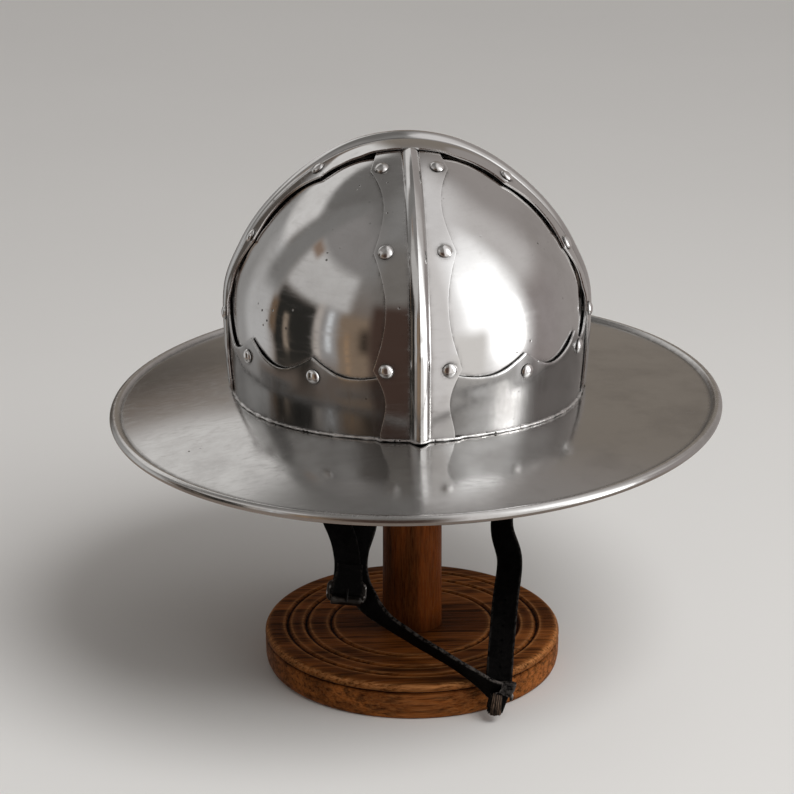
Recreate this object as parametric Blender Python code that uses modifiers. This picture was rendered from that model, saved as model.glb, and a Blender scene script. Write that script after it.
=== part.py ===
"""A kettle hat of riveted sheet steel with its leather chin strap, on a turned wooden stand.

Metres, +Z up. The hat faces -Y. The origin is under the middle of the brim, on the underside of the stand.
The skull is four quarter plates under a brow band and two crossed, ridged bands; the wide brim has a rolled
edge and a short collar turned up inside the brow band.
"""

import math

import bmesh
import bpy
from mathutils import Vector

# Skull: half width, half length and height of the outer face of the plates above their widest level
SKULL_HALF_WIDTH = 0.104
SKULL_HALF_LENGTH = 0.111
SKULL_HEIGHT = 0.1000
SKULL_SHOULDER = 0.026          # how far the shoulders fall inside an ellipsoid, as a fraction
SKULL_LEVEL = 0.2277            # height of the widest level above the stand's underside
SKULL_X = -0.005                # the skull sits a little to one side of the brim
WALL_TAPER = 0.023              # the wall draws in by this fraction over TAPER_DEPTH
TAPER_DEPTH = 0.05
KEEL_ANGLE = math.radians(14)   # the wall stays upright within about this angle of the front and back

# Sheet and gaps
SHEET = 0.0012
GAP = 0.0003
LAYER_GAP = 0.00045             # between one curved sheet and the next

# Joint between crown and brim, and the brim's oval edge
JOINT_LEVEL = 0.179
JOINT_RISE = 0.006              # the joint is this much higher at the front and back than at the ears
BRIM_HALF_WIDTH = 0.1825
BRIM_HALF_LENGTH = 0.191
BRIM_LEVEL = 0.1680
BRIM_ROLL = math.radians(1.55)  # one side of the brim hangs lower
BEAD_RADIUS = 0.003
COLLAR_HEIGHT = 0.006
BRIM_SEGMENTS = 60

# Bands
BAND_RADIUS = 0.105             # turns a distance across a band into an angle
BAND_WIDE = 0.0229              # half width at the rivets
BAND_NARROW = 0.0165            # half width between them
BAND_SHIFT = -0.0012            # the front and back band's edges and rivets sit to one side of its ridge
RIDGE_HALF_WIDTH = 0.0054
RIDGE_HEIGHT = 0.0043           # on the band over the front and back
SIDE_RIDGE_HEIGHT = 0.0026      # at the top
EAR_RIDGE_HEIGHT = 0.0016
BACK_RIDGE_FADE = (0.0850, 0.1250)  # the back ridge sinks into its band between these stations
RIDGE_SHOULDER = (0.0024, 0.75)  # distance from the middle, and its height as a share of the ridge's
SIDE_BAND_SKEW = math.radians(4)
BAND_STEP = 0.0105

# The bands' edges from the joint to the top: distance above the widest level, and half width there
FRONT_EDGE = [
    {"station": -0.0420, "half_width": 0.0195, "cusp": False},
    {"station": -0.0220, "half_width": BAND_NARROW, "cusp": False},
    {"station": -0.0018, "half_width": BAND_WIDE, "cusp": True},
    {"station": 0.0305, "half_width": BAND_NARROW, "cusp": False},
    {"station": 0.0627, "half_width": BAND_WIDE, "cusp": True},
    {"station": 0.0940, "half_width": BAND_NARROW, "cusp": False},
    {"station": 0.1255, "half_width": BAND_WIDE, "cusp": True},
    {"station": 0.1649, "half_width": BAND_NARROW, "cusp": False},
]
BACK_EDGE = [
    {"station": -0.0420, "half_width": 0.0195, "cusp": False},
    {"station": -0.0220, "half_width": BAND_NARROW, "cusp": False},
    {"station": -0.0018, "half_width": BAND_WIDE, "cusp": True},
    {"station": 0.0235, "half_width": BAND_NARROW, "cusp": False},
    {"station": 0.0490, "half_width": BAND_WIDE, "cusp": True},
    {"station": 0.0745, "half_width": BAND_NARROW, "cusp": False},
    {"station": 0.1000, "half_width": BAND_WIDE, "cusp": True},
    {"station": 0.1649, "half_width": BAND_NARROW, "cusp": False},
]

# The side band's two front edges are a little different; its back edge is plain
RIGHT_EDGE = [
    {"station": -0.0480, "half_width": 0.0185, "cusp": False},
    {"station": -0.0220, "half_width": BAND_NARROW, "cusp": False},
    {"station": 0.0043, "half_width": 0.0235, "cusp": True},
    {"station": 0.0245, "half_width": 0.0180, "cusp": False},
    {"station": 0.0465, "half_width": 0.0242, "cusp": True},
    {"station": 0.0750, "half_width": 0.0195, "cusp": False},
    {"station": 0.1015, "half_width": 0.0238, "cusp": True},
    {"station": 0.1260, "half_width": 0.0200, "cusp": False},
    {"station": 0.1649, "half_width": 0.0212, "cusp": False},
]
LEFT_EDGE = [
    {"station": -0.0480, "half_width": 0.0185, "cusp": False},
    {"station": -0.0220, "half_width": BAND_NARROW, "cusp": False},
    {"station": 0.0010, "half_width": 0.0229, "cusp": True},
    {"station": 0.0260, "half_width": 0.0183, "cusp": False},
    {"station": 0.0505, "half_width": 0.0240, "cusp": True},
    {"station": 0.0840, "half_width": 0.0180, "cusp": False},
    {"station": 0.1090, "half_width": 0.0252, "cusp": True},
    {"station": 0.1340, "half_width": 0.0212, "cusp": False},
    {"station": 0.1649, "half_width": 0.0212, "cusp": False},
]
PLAIN_EDGE = [
    {"station": -0.0480, "half_width": 0.0185, "cusp": False},
    {"station": -0.0220, "half_width": BAND_NARROW, "cusp": False},
    {"station": 0.0028, "half_width": 0.0222, "cusp": True},
    {"station": 0.0300, "half_width": 0.0195, "cusp": False},
    {"station": 0.1649, "half_width": 0.0185, "cusp": False},
]

# Upper edge of the brow band: degrees from the front, height over the widest level
BROW_EDGE = [
    {"azimuth": 0.0, "height": 0.0020, "cusp": True},
    {"azimuth": 20.0, "height": -0.0086, "cusp": False},
    {"azimuth": 33.5, "height": 0.0005, "cusp": True},
    {"azimuth": 46.0, "height": -0.0108, "cusp": False},
    {"azimuth": 61.0, "height": -0.0003, "cusp": True},
    {"azimuth": 68.0, "height": -0.0080, "cusp": False},
    {"azimuth": 77.0, "height": 0.0100, "cusp": True},
    {"azimuth": 95.0, "height": 0.0100, "cusp": True},
    {"azimuth": 107.0, "height": -0.0110, "cusp": False},
    {"azimuth": 119.0, "height": -0.0003, "cusp": True},
    {"azimuth": 134.0, "height": -0.0108, "cusp": False},
    {"azimuth": 146.5, "height": 0.0005, "cusp": True},
    {"azimuth": 160.0, "height": -0.0086, "cusp": False},
    {"azimuth": 180.0, "height": 0.0020, "cusp": True},
    {"azimuth": 200.0, "height": -0.0086, "cusp": False},
    {"azimuth": 213.5, "height": 0.0005, "cusp": True},
    {"azimuth": 226.0, "height": -0.0108, "cusp": False},
    {"azimuth": 241.0, "height": -0.0003, "cusp": True},
    {"azimuth": 249.0, "height": -0.0080, "cusp": False},
    {"azimuth": 257.0, "height": 0.0100, "cusp": True},
    {"azimuth": 275.0, "height": 0.0100, "cusp": True},
    {"azimuth": 287.0, "height": -0.0123, "cusp": False},
    {"azimuth": 300.3, "height": -0.0003, "cusp": True},
    {"azimuth": 314.0, "height": -0.0108, "cusp": False},
    {"azimuth": 327.6, "height": 0.0005, "cusp": True},
    {"azimuth": 340.0, "height": -0.0086, "cusp": False},
    {"azimuth": 360.0, "height": 0.0020, "cusp": True},
]
BROW_STEP = 6.5
BROW_FOOT_GAP = 0.0006

# Quarter plates
PLATE_FOOT = 0.1965
PLATE_SEAM = math.radians(1.0)
PLATE_TOP = math.radians(84)
PLATE_COLUMNS = 9
PLATE_ROWS = 8

# Rivets
RIVET_HEAD = 0.0042
RIVET_HEIGHT = 0.0023
SHANK_RADIUS = 0.0019
BURR_RADIUS = 0.0029
HOLE_RADIUS = 0.0026
HOLE_SIDES = 6

# Rivets along the bands' edges: station, and distance from the middle of the ridge
FRONT_RIVETS = [(-0.0018, 0.0163), (0.0627, 0.0163), (0.1255, 0.0163)]
BACK_RIVETS = [(-0.0018, 0.0163), (0.0490, 0.0163), (0.1000, 0.0163)]
RIGHT_RIVETS = [(0.0043, 0.0175), (0.0465, 0.0168), (0.1015, 0.0145)]
LEFT_RIVETS = [(0.0010, 0.0172), (0.0505, 0.0160), (0.1090, 0.0138)]
PLAIN_RIVETS = [(0.0028, 0.0163)]
BROW_RIVETS = [
    {"azimuth": 34.0, "height": -0.0105},
    {"azimuth": 64.5, "height": -0.0118},
    {"azimuth": 115.5, "height": -0.0118},
    {"azimuth": 146.0, "height": -0.0105},
    {"azimuth": 212.0, "height": -0.0105},
    {"azimuth": 242.0, "height": -0.0125},
    {"azimuth": 298.0, "height": -0.0125},
    {"azimuth": 328.0, "height": -0.0105},
]
PLATE_SLACK = 0.0010            # the flat facets of a plate lie this much inside its true curve

# Stand
STAND_X = -0.0016
BASE_RADIUS = 0.0905
BASE_HEIGHT = 0.0230
POST_RADIUS = 0.0180
TENON_RADIUS = 0.010
TENON_LENGTH = 0.0095
CAP_RADIUS = 0.040
CAP_HEIGHT = 0.030
CAP_CROWN = 0.0096              # how far the cap's top is domed
GROOVES = (0.847, 0.720, 0.553)  # as fractions of the base's radius
GROOVE_HALF = 0.0013
GROOVE_DEPTH = 0.0014

# Chin strap
STRAP_WIDTH = 0.0155
STRAP_THICKNESS = 0.002
STRAP_STEP = 0.008
STRAP_RIVET_LEVEL = 0.1900
STRAP_LIFT = -0.0040            # middle of the strap against the inside of the wall

# Each row is a point of the strap's middle line and the direction of its width there
STRAP_RIGHT = [
    {"x": 0.0000, "y": 0.0000, "z": 0.1975, "wx": 0.00, "wy": -1.00, "wz": 0.00, "ear": 1},
    {"x": 0.0000, "y": 0.0000, "z": 0.1790, "wx": 0.00, "wy": -1.00, "wz": 0.00, "ear": 1},
    {"x": 0.0810, "y": -0.0035, "z": 0.1550, "wx": 0.10, "wy": -1.00, "wz": 0.00, "ear": 0},
    {"x": 0.0620, "y": -0.0090, "z": 0.1280, "wx": 0.35, "wy": -0.90, "wz": 0.00, "ear": 0},
    {"x": 0.0512, "y": -0.0200, "z": 0.0973, "wx": 0.70, "wy": -0.70, "wz": 0.00, "ear": 0},
    {"x": 0.0545, "y": -0.0350, "z": 0.0775, "wx": 0.90, "wy": -0.40, "wz": 0.00, "ear": 0},
    {"x": 0.0503, "y": -0.0540, "z": 0.0597, "wx": 0.97, "wy": -0.20, "wz": 0.00, "ear": 0},
    {"x": 0.0468, "y": -0.0710, "z": 0.0413, "wx": 0.98, "wy": -0.10, "wz": 0.00, "ear": 0},
    {"x": 0.0443, "y": -0.0842, "z": 0.0272, "wx": 0.99, "wy": 0.00, "wz": 0.00, "ear": 0},
    {"x": 0.0437, "y": -0.0880, "z": 0.0170, "wx": 0.99, "wy": 0.00, "wz": 0.00, "ear": 0},
]
STRAP_CROSS = [
    {"x": 0.0370, "y": -0.0925, "z": 0.0224, "wx": 0.40, "wy": -0.60, "wz": 0.69, "ear": 0},
    {"x": 0.0272, "y": -0.0896, "z": 0.0288, "wx": 0.25, "wy": -0.72, "wz": 0.65, "ear": 0},
    {"x": 0.0159, "y": -0.0830, "z": 0.0344, "wx": 0.16, "wy": -0.77, "wz": 0.62, "ear": 0},
    {"x": 0.0045, "y": -0.0735, "z": 0.0382, "wx": 0.16, "wy": -0.77, "wz": 0.62, "ear": 0},
    {"x": -0.0075, "y": -0.0625, "z": 0.0420, "wx": 0.18, "wy": -0.77, "wz": 0.62, "ear": 0},
    {"x": -0.0213, "y": -0.0470, "z": 0.0468, "wx": 0.36, "wy": -0.75, "wz": 0.55, "ear": 0},
    {"x": -0.0328, "y": -0.0322, "z": 0.0550, "wx": 0.85, "wy": -0.45, "wz": 0.28, "ear": 0},
    {"x": -0.0375, "y": -0.0255, "z": 0.0670, "wx": 1.00, "wy": -0.10, "wz": 0.05, "ear": 0},
    {"x": -0.0370, "y": -0.0245, "z": 0.0810, "wx": 1.00, "wy": 0.00, "wz": 0.00, "ear": 0},
    {"x": -0.0325, "y": -0.0220, "z": 0.0955, "wx": 1.00, "wy": 0.00, "wz": 0.00, "ear": 0},
    {"x": -0.0285, "y": -0.0180, "z": 0.1130, "wx": 1.00, "wy": 0.00, "wz": 0.00, "ear": 0},
]
STRAP_LEFT = [
    {"x": 0.0000, "y": 0.0000, "z": 0.1975, "wx": 0.00, "wy": -1.00, "wz": 0.00, "ear": -1},
    {"x": 0.0000, "y": 0.0000, "z": 0.1790, "wx": 0.00, "wy": -1.00, "wz": 0.00, "ear": -1},
    {"x": -0.0890, "y": -0.0040, "z": 0.1560, "wx": 0.15, "wy": -1.00, "wz": 0.00, "ear": 0},
    {"x": -0.0620, "y": -0.0170, "z": 0.1240, "wx": 0.60, "wy": -0.80, "wz": 0.00, "ear": 0},
    {"x": -0.0475, "y": -0.0275, "z": 0.0985, "wx": 0.98, "wy": -0.20, "wz": 0.00, "ear": 0},
    {"x": -0.0430, "y": -0.0345, "z": 0.0820, "wx": 1.00, "wy": 0.00, "wz": 0.00, "ear": 0},
    {"x": -0.0435, "y": -0.0375, "z": 0.0698, "wx": 1.00, "wy": 0.00, "wz": -0.10, "ear": 0},
]

# Buckle, hung on the end of the left strap
BUCKLE_PLACE = (-0.0440, -0.0405, 0.0563)
BUCKLE_LEAN = math.radians(-14)
BUCKLE_TILT = math.radians(7)
BUCKLE_WIDTH = 0.0240
BUCKLE_HEIGHT = 0.0105
BUCKLE_WIRE = 0.0013
ROLLER_RADIUS = 0.0030
ROLLER_LENGTH = 0.0180
TONGUE_RADIUS = 0.0009

# Where the straps meet, in front of the stand's base
FOLD_LOW = (0.0380, -0.0980, 0.0032)
FOLD_HIGH = (0.0492, -0.0898, 0.0182)
KEEPER_WIDTH = 0.0094
KEEPER_RADIUS = 0.0040
KEEPER_WALL = 0.0020
KEEPER_TILT = math.radians(6)
KEEPER_PLACE = (0.0472, -0.0945, 0.0210)
STUD_RADIUS = 0.0028

COLOURS = {
    "polished_steel": {"base": (0.60, 0.60, 0.60), "rough": 0.22, "metal": 1.0},
    "brushed_steel": {"base": (0.52, 0.51, 0.50), "rough": 0.36, "metal": 1.0},
    "rivet_steel": {"base": (0.66, 0.66, 0.65), "rough": 0.18, "metal": 1.0},
    "black_leather": {"base": (0.012, 0.011, 0.011), "rough": 0.60, "metal": 0.0},
    "raw_leather": {"base": (0.110, 0.070, 0.045), "rough": 0.85, "metal": 0.0},
    "black_metal": {"base": (0.020, 0.020, 0.021), "rough": 0.40, "metal": 1.0},
    "dark_wood": {"base": (0.120, 0.045, 0.020), "rough": 0.45, "metal": 0.0},
}

parts = None
cutters = None


def clear_scene():
    for thing in list(bpy.data.objects):
        bpy.data.objects.remove(thing, do_unlink=True)


def new_collection(name):
    made = bpy.data.collections.new(name)
    bpy.context.scene.collection.children.link(made)
    return made


def make_material(name):
    look = COLOURS[name]
    material = bpy.data.materials.get(name)
    if material is None:
        material = bpy.data.materials.new(name)
        material.use_nodes = True
        shader = material.node_tree.nodes["Principled BSDF"]
        shader.inputs["Base Color"].default_value = (*look["base"], 1.0)
        shader.inputs["Roughness"].default_value = look["rough"]
        shader.inputs["Metallic"].default_value = look["metal"]
    return material


def add_object(name, mesh, material, smooth=40):
    """Links a mesh as a named part with its own material."""
    thing = bpy.data.objects.new(name, mesh)
    if not mesh.materials:
        mesh.materials.append(make_material(material))
    parts.objects.link(thing)
    mesh.shade_smooth()
    mesh.set_sharp_from_angle(angle=math.radians(smooth))
    return thing


def add_cutter(name, mesh):
    thing = bpy.data.objects.new(name, mesh)
    thing.hide_render = True
    thing.display_type = "WIRE"
    cutters.objects.link(thing)
    return thing


# The skull's shape


def keel(direction):
    """1 at the middle of the front and back, falling to 0 away from them."""
    angle = math.atan2(abs(direction.x), abs(direction.y))
    return math.exp(-((angle / KEEL_ANGLE) ** 2))


def plan_radius(direction):
    return 1 / math.hypot(direction.x / SKULL_HALF_WIDTH, direction.y / SKULL_HALF_LENGTH)


def wall_point(direction, level, lift):
    """A point of the upright wall at a height, lifted off the plates' outer face."""
    depth = (SKULL_LEVEL - level) / TAPER_DEPTH
    taper = 1 - WALL_TAPER * depth * depth * (1 - keel(direction))
    radius = plan_radius(direction) * taper + lift
    return Vector((SKULL_X + radius * direction.x, radius * direction.y, level))


def dome_point(direction, lift):
    """A point of the dome in a direction from the middle of the widest level."""
    across = direction.x / SKULL_HALF_WIDTH
    along = direction.y / SKULL_HALF_LENGTH
    size = Vector((across, along, direction.z / SKULL_HEIGHT))
    rise = size.z / size.length
    shoulder = 1 - SKULL_SHOULDER * 4 * rise * rise * (1 - rise * rise)
    radius = shoulder / size.length + lift
    return Vector((SKULL_X, 0, SKULL_LEVEL)) + radius * direction


def band_point(along, across, station, offset, lift):
    """A point of a band: station runs from the joint over the top, offset runs across it."""
    sweep = offset / BAND_RADIUS
    if station < 0:
        direction = math.cos(sweep) * along + math.sin(sweep) * across
        return wall_point(direction, SKULL_LEVEL + station, lift)
    rise = station / BAND_RADIUS
    forward = math.cos(rise) * along + math.sin(rise) * Vector((0, 0, 1))
    return dome_point(math.cos(sweep) * forward + math.sin(sweep) * across, lift)


def surface_normal(place, first, second):
    """The outward normal of a surface given as a function of two distances."""
    step = 0.0005
    a = place(first + step, second) - place(first - step, second)
    b = place(first, second + step) - place(first, second - step)
    normal = a.cross(b).normalized()
    outward = place(first, second) - Vector((SKULL_X, 0, SKULL_LEVEL))
    return normal if normal.dot(outward) > 0 else -normal


def joint_level(direction):
    return JOINT_LEVEL + JOINT_RISE * direction.y ** 2


def ease(low, high, value):
    t = min(1, max(0, (value - low) / (high - low)))
    return t * t * (3 - 2 * t)


def scallop(rows, key, field, value):
    """Reads an outline that comes to a point at its cusps and rounds out between them."""
    for first, second in zip(rows, rows[1:]):
        if first[key] <= value <= second[key]:
            t = (value - first[key]) / (second[key] - first[key])
            if first["cusp"] and second["cusp"]:
                share = t
            elif first["cusp"]:
                share = math.sin(math.pi / 2 * t)
            elif second["cusp"]:
                share = 1 - math.sin(math.pi / 2 * (1 - t))
            else:
                share = ease(0, 1, t)
            return first[field] + share * (second[field] - first[field])
    return rows[-1][field]


def spread(stops, step):
    """The stops with equal steps of at most the given size between them."""
    values = [stops[0]]
    for first, second in zip(stops, stops[1:]):
        count = max(1, math.ceil((second - first) / step - 1e-6))
        for k in range(count):
            values.append(first + (second - first) * (k + 1) / count)
    return values


# Sheet parts


def sheet_object(name, columns, rows, place, material, thickness, offset, ring=False):
    """Bends a grid through place(column, row) and gives it a thickness."""
    shape = bmesh.new()
    bmesh.ops.create_grid(shape, x_segments=columns, y_segments=rows, size=0.5)
    for vert in shape.verts:
        column = round((vert.co.x + 0.5) * columns)
        row = round((vert.co.y + 0.5) * rows)
        vert.co = place(column, row)
    if ring:
        bmesh.ops.remove_doubles(shape, verts=shape.verts, dist=1e-6)
    shape.normal_update()
    middle = Vector((SKULL_X, 0, SKULL_LEVEL))
    if sum(face.normal.dot(face.calc_center_median() - middle) for face in shape.faces) < 0:
        bmesh.ops.reverse_faces(shape, faces=shape.faces)
    mesh = bpy.data.meshes.new(name)
    shape.to_mesh(mesh)
    shape.free()
    thing = add_object(name, mesh, material)
    wall = thing.modifiers.new("wall", "SOLIDIFY")
    wall.thickness = thickness
    wall.offset = offset
    wall.use_even_offset = True
    wall.use_quality_normals = True
    return thing


def make_plate(name, quarter):
    """One quarter of the skull between the two bands; quarter counts from the front right."""
    start = -math.pi / 2 + quarter * math.pi / 2 + PLATE_SEAM
    sweep = math.pi / 2 - 2 * PLATE_SEAM
    foot = SKULL_LEVEL - PLATE_FOOT
    dome_rows = PLATE_ROWS
    wall_rows = 2

    def place(column, row):
        azimuth = start + sweep * column / PLATE_COLUMNS
        level = Vector((math.cos(azimuth), math.sin(azimuth), 0))
        if row < wall_rows:
            return wall_point(level, PLATE_FOOT + foot * row / wall_rows, 0)
        rise = PLATE_TOP * (row - wall_rows) / dome_rows
        return dome_point(math.cos(rise) * level + math.sin(rise) * Vector((0, 0, 1)), 0)

    return sheet_object(name, PLATE_COLUMNS, wall_rows + dome_rows, place, "polished_steel", SHEET, -1)


def brow_top(degrees):
    return SKULL_LEVEL + scallop(BROW_EDGE, "azimuth", "height", degrees % 360)


def azimuth_direction(degrees):
    """Degrees from the front, turning towards +X."""
    angle = math.radians(degrees)
    return Vector((math.sin(angle), -math.cos(angle), 0))


BROW_LIFT = LAYER_GAP + SHEET


def make_brow_band():
    stops = spread([row["azimuth"] for row in BROW_EDGE], BROW_STEP)
    rows = 4

    def place(column, row):
        degrees = stops[column]
        direction = azimuth_direction(degrees)
        low = joint_level(direction) + BROW_FOOT_GAP
        level = low + (brow_top(degrees) - low) * row / rows
        if level <= SKULL_LEVEL:
            return wall_point(direction, level, BROW_LIFT)
        rise = math.asin((level - SKULL_LEVEL) / SKULL_HEIGHT)
        return dome_point(math.cos(rise) * direction + math.sin(rise) * Vector((0, 0, 1)), BROW_LIFT)

    return sheet_object("brow_band", len(stops) - 1, rows, place, "polished_steel", SHEET, -1, ring=True)


def band_lift(station, over_brow, over_top):
    """Height of a band's outer face: it steps up over the brow band and, for the upper band, at the top."""
    low = LAYER_GAP + SHEET
    high = low + LAYER_GAP + SHEET
    top = BAND_RADIUS * math.pi / 2
    share = 1 - ease(over_brow, over_brow + (0.028 if over_top else 0.010), station)
    if over_top:
        share = max(share, ease(top - 0.085, top - 0.026, station))
    return low + (high - low) * share


FRONT_BAND = {
    "name": "front_back_band",
    "edges": {"al": FRONT_EDGE, "ar": FRONT_EDGE, "bl": BACK_EDGE, "br": BACK_EDGE},
    "rivets": {"al": FRONT_RIVETS, "ar": FRONT_RIVETS, "bl": BACK_RIVETS, "br": BACK_RIVETS},
    "along": Vector((0, -1, 0)),
    "across": Vector((1, 0, 0)),
    "over_brow": 0.0045,
    "over_top": False,
    "ridge_end": 0.1420,
    "ridge_low": RIDGE_HEIGHT,
    "ridge_high": RIDGE_HEIGHT,
    "shift": BAND_SHIFT,
}
SIDE_BAND = {
    "name": "side_band",
    "edges": {"al": PLAIN_EDGE, "ar": RIGHT_EDGE, "bl": PLAIN_EDGE, "br": LEFT_EDGE},
    "rivets": {"al": PLAIN_RIVETS, "ar": RIGHT_RIVETS, "bl": PLAIN_RIVETS, "br": LEFT_RIVETS},
    "along": Vector((math.cos(SIDE_BAND_SKEW), -math.sin(SIDE_BAND_SKEW), 0)),
    "across": Vector((-math.sin(SIDE_BAND_SKEW), -math.cos(SIDE_BAND_SKEW), 0)),
    "over_brow": 0.0125,
    "over_top": True,
    "ridge_end": None,
    "ridge_low": EAR_RIDGE_HEIGHT,
    "ridge_high": SIDE_RIDGE_HEIGHT,
    "shift": 0,
}


BAND_TOP = BAND_RADIUS * math.pi / 2


def band_place(band, station, offset, lift):
    """Mirrors a band past the top, so that stations run on down the other side."""
    if station > BAND_TOP:
        return band_point(-band["along"], band["across"], 2 * BAND_TOP - station, offset, lift)
    return band_point(band["along"], band["across"], station, offset, lift)


def folded(station):
    """The same station counted from the nearer end."""
    return min(station, 2 * BAND_TOP - station)


def edge_name(station, side):
    """The edge of a band at a station: end a or b, then side l or r."""
    return ("a" if station <= BAND_TOP else "b") + ("l" if side < 0 else "r")


def half_width(band, station, side):
    outline = band["edges"][edge_name(station, side)]
    return scallop(outline, "station", "half_width", min(folded(station), outline[-1]["station"]))


def ridge_height(band, station):
    near = folded(station)
    height = band["ridge_low"] + (band["ridge_high"] - band["ridge_low"]) * ease(0, 0.11, near)
    if band["ridge_end"] is None:
        return height
    if station > BAND_TOP:
        return height * (1 - ease(*BACK_RIDGE_FADE, near))
    rounded = (band["ridge_end"] - near) / 0.004
    return height * math.sqrt(max(0, 1 - (1 - min(1, max(0, rounded))) ** 2))


def band_stations(band, end):
    """The stations of one end's rows, from the joint to the top."""
    stops = sorted({row["station"] for side in "lr" for row in band["edges"][end + side]})
    stops[-1] = BAND_TOP
    if band["ridge_end"] is not None and end == "a":
        last = band["ridge_end"]
        stops = sorted(stops + [last - 0.004, last - 0.002, last - 0.0005, last])
    return spread(stops, BAND_STEP)


def make_band(band):
    stations = band_stations(band, "a")
    stations += [2 * BAND_TOP - station for station in reversed(band_stations(band, "b")[:-1])]
    profile = [-1.0, -0.6, "foot", "shoulder", "crest", "shoulder", "foot", 0.6, 1.0]

    def place(column, row):
        station = stations[row]
        near = folded(station)
        lift = band_lift(near, band["over_brow"], band["over_top"])
        side = -1 if column < 4 else 1
        width = half_width(band, station, side)
        kind = profile[column]
        if kind == "foot":
            offset = side * RIDGE_HALF_WIDTH
        elif kind == "shoulder":
            offset = side * RIDGE_SHOULDER[0]
            lift += RIDGE_SHOULDER[1] * ridge_height(band, station)
        elif kind == "crest":
            offset = 0
            lift += ridge_height(band, station)
        elif abs(kind) < 1:
            offset = side * (RIDGE_HALF_WIDTH + 0.5 * (width - RIDGE_HALF_WIDTH)) + band["shift"] / 2
        else:
            offset = side * width + band["shift"]
        if near < -0.030:
            # the foot of the band follows the joint
            sweep = offset / BAND_RADIUS
            direction = math.cos(sweep) * band["along"] + math.sin(sweep) * band["across"]
            foot = joint_level(direction) + BROW_FOOT_GAP - SKULL_LEVEL
            last = stations[0]
            blend = (near - last) / (-0.030 - last)
            shifted = foot + (-0.030 - foot) * blend
            station = shifted if station < BAND_TOP else 2 * BAND_TOP - shifted
        return band_place(band, station, offset, lift)

    return sheet_object(band["name"], len(profile) - 1, len(stations) - 1, place, "polished_steel", SHEET, -1)


def brim_edge(degrees):
    """The outermost point of the brim's oval edge."""
    angle = math.radians(degrees)
    x = BRIM_HALF_WIDTH * math.sin(angle)
    return Vector((x, -BRIM_HALF_LENGTH * math.cos(angle), BRIM_LEVEL + x * math.tan(BRIM_ROLL)))


def brim_section(degrees):
    """The closed outline of the brim cut at an angle from the front."""
    direction = azimuth_direction(degrees)
    level = joint_level(direction)
    outer = -GAP
    inner = outer - SHEET
    top = wall_point(direction, level, outer)
    edge = brim_edge(degrees)
    away = Vector((edge.x - top.x, edge.y - top.y, 0))
    reach = away.length
    away.normalize()
    centre = edge - BEAD_RADIUS * away
    start = wall_point(direction, level, outer) - Vector((0, 0, GAP))
    groove = centre - 1.2 * BEAD_RADIUS * away + Vector((0, 0, 0.35 * BEAD_RADIUS))
    under = Vector((0, 0, -SHEET))
    points = [wall_point(direction, level + COLLAR_HEIGHT, outer), start]
    points += [start.lerp(groove, 1 / 3), start.lerp(groove, 2 / 3), groove]
    for turn in (130, 75, 20, -35, -90):
        angle = math.radians(turn)
        points.append(centre + BEAD_RADIUS * (math.cos(angle) * away + math.sin(angle) * Vector((0, 0, 1))))
    points += [groove + 1.3 * under, start.lerp(groove, 1 / 2) + under]
    points.append(wall_point(direction, level - SHEET, inner))
    points.append(wall_point(direction, level + COLLAR_HEIGHT, inner))
    return points


def make_brim():
    count = len(brim_section(0))
    sections = [brim_section(360 * k / BRIM_SEGMENTS) for k in range(BRIM_SEGMENTS)]
    shape = bmesh.new()
    bmesh.ops.create_grid(shape, x_segments=BRIM_SEGMENTS, y_segments=count, size=0.5)
    for vert in shape.verts:
        column = round((vert.co.x + 0.5) * BRIM_SEGMENTS) % BRIM_SEGMENTS
        row = round((vert.co.y + 0.5) * count) % count
        vert.co = sections[column][row]
    bmesh.ops.remove_doubles(shape, verts=shape.verts, dist=1e-6)
    bmesh.ops.recalc_face_normals(shape, faces=shape.faces)
    mesh = bpy.data.meshes.new("brim")
    shape.to_mesh(mesh)
    shape.free()
    return add_object("brim", mesh, "brushed_steel")


# Rivets


def turned_mesh(name, profile, steps):
    """A solid of revolution; the profile runs from top to bottom on its outer side."""
    shape = bmesh.new()
    verts = [shape.verts.new((x, 0, z)) for x, z in profile]
    for first, second in zip(verts, verts[1:]):
        shape.edges.new((first, second))
    bmesh.ops.spin(
        shape,
        geom=shape.verts[:] + shape.edges[:],
        cent=(0, 0, 0),
        axis=(0, 0, 1),
        angle=2 * math.pi,
        steps=steps,
        use_merge=True,
    )
    bmesh.ops.remove_doubles(shape, verts=shape.verts, dist=1e-6)
    bmesh.ops.recalc_face_normals(shape, faces=shape.faces)
    mesh = bpy.data.meshes.new(name)
    shape.to_mesh(mesh)
    shape.free()
    return mesh


def rivet_mesh(name, length):
    """A domed head over z = 0, a shank down through the sheets and a rounded burr inside."""
    profile = [
        (0, RIVET_HEIGHT),
        (RIVET_HEAD * 0.62, RIVET_HEIGHT * 0.74),
        (RIVET_HEAD, 0),
        (SHANK_RADIUS, 0),
        (SHANK_RADIUS, -length),
        (BURR_RADIUS, -length),
        (0, -length - 0.0010),
    ]
    return turned_mesh(name, profile, 8)


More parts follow.
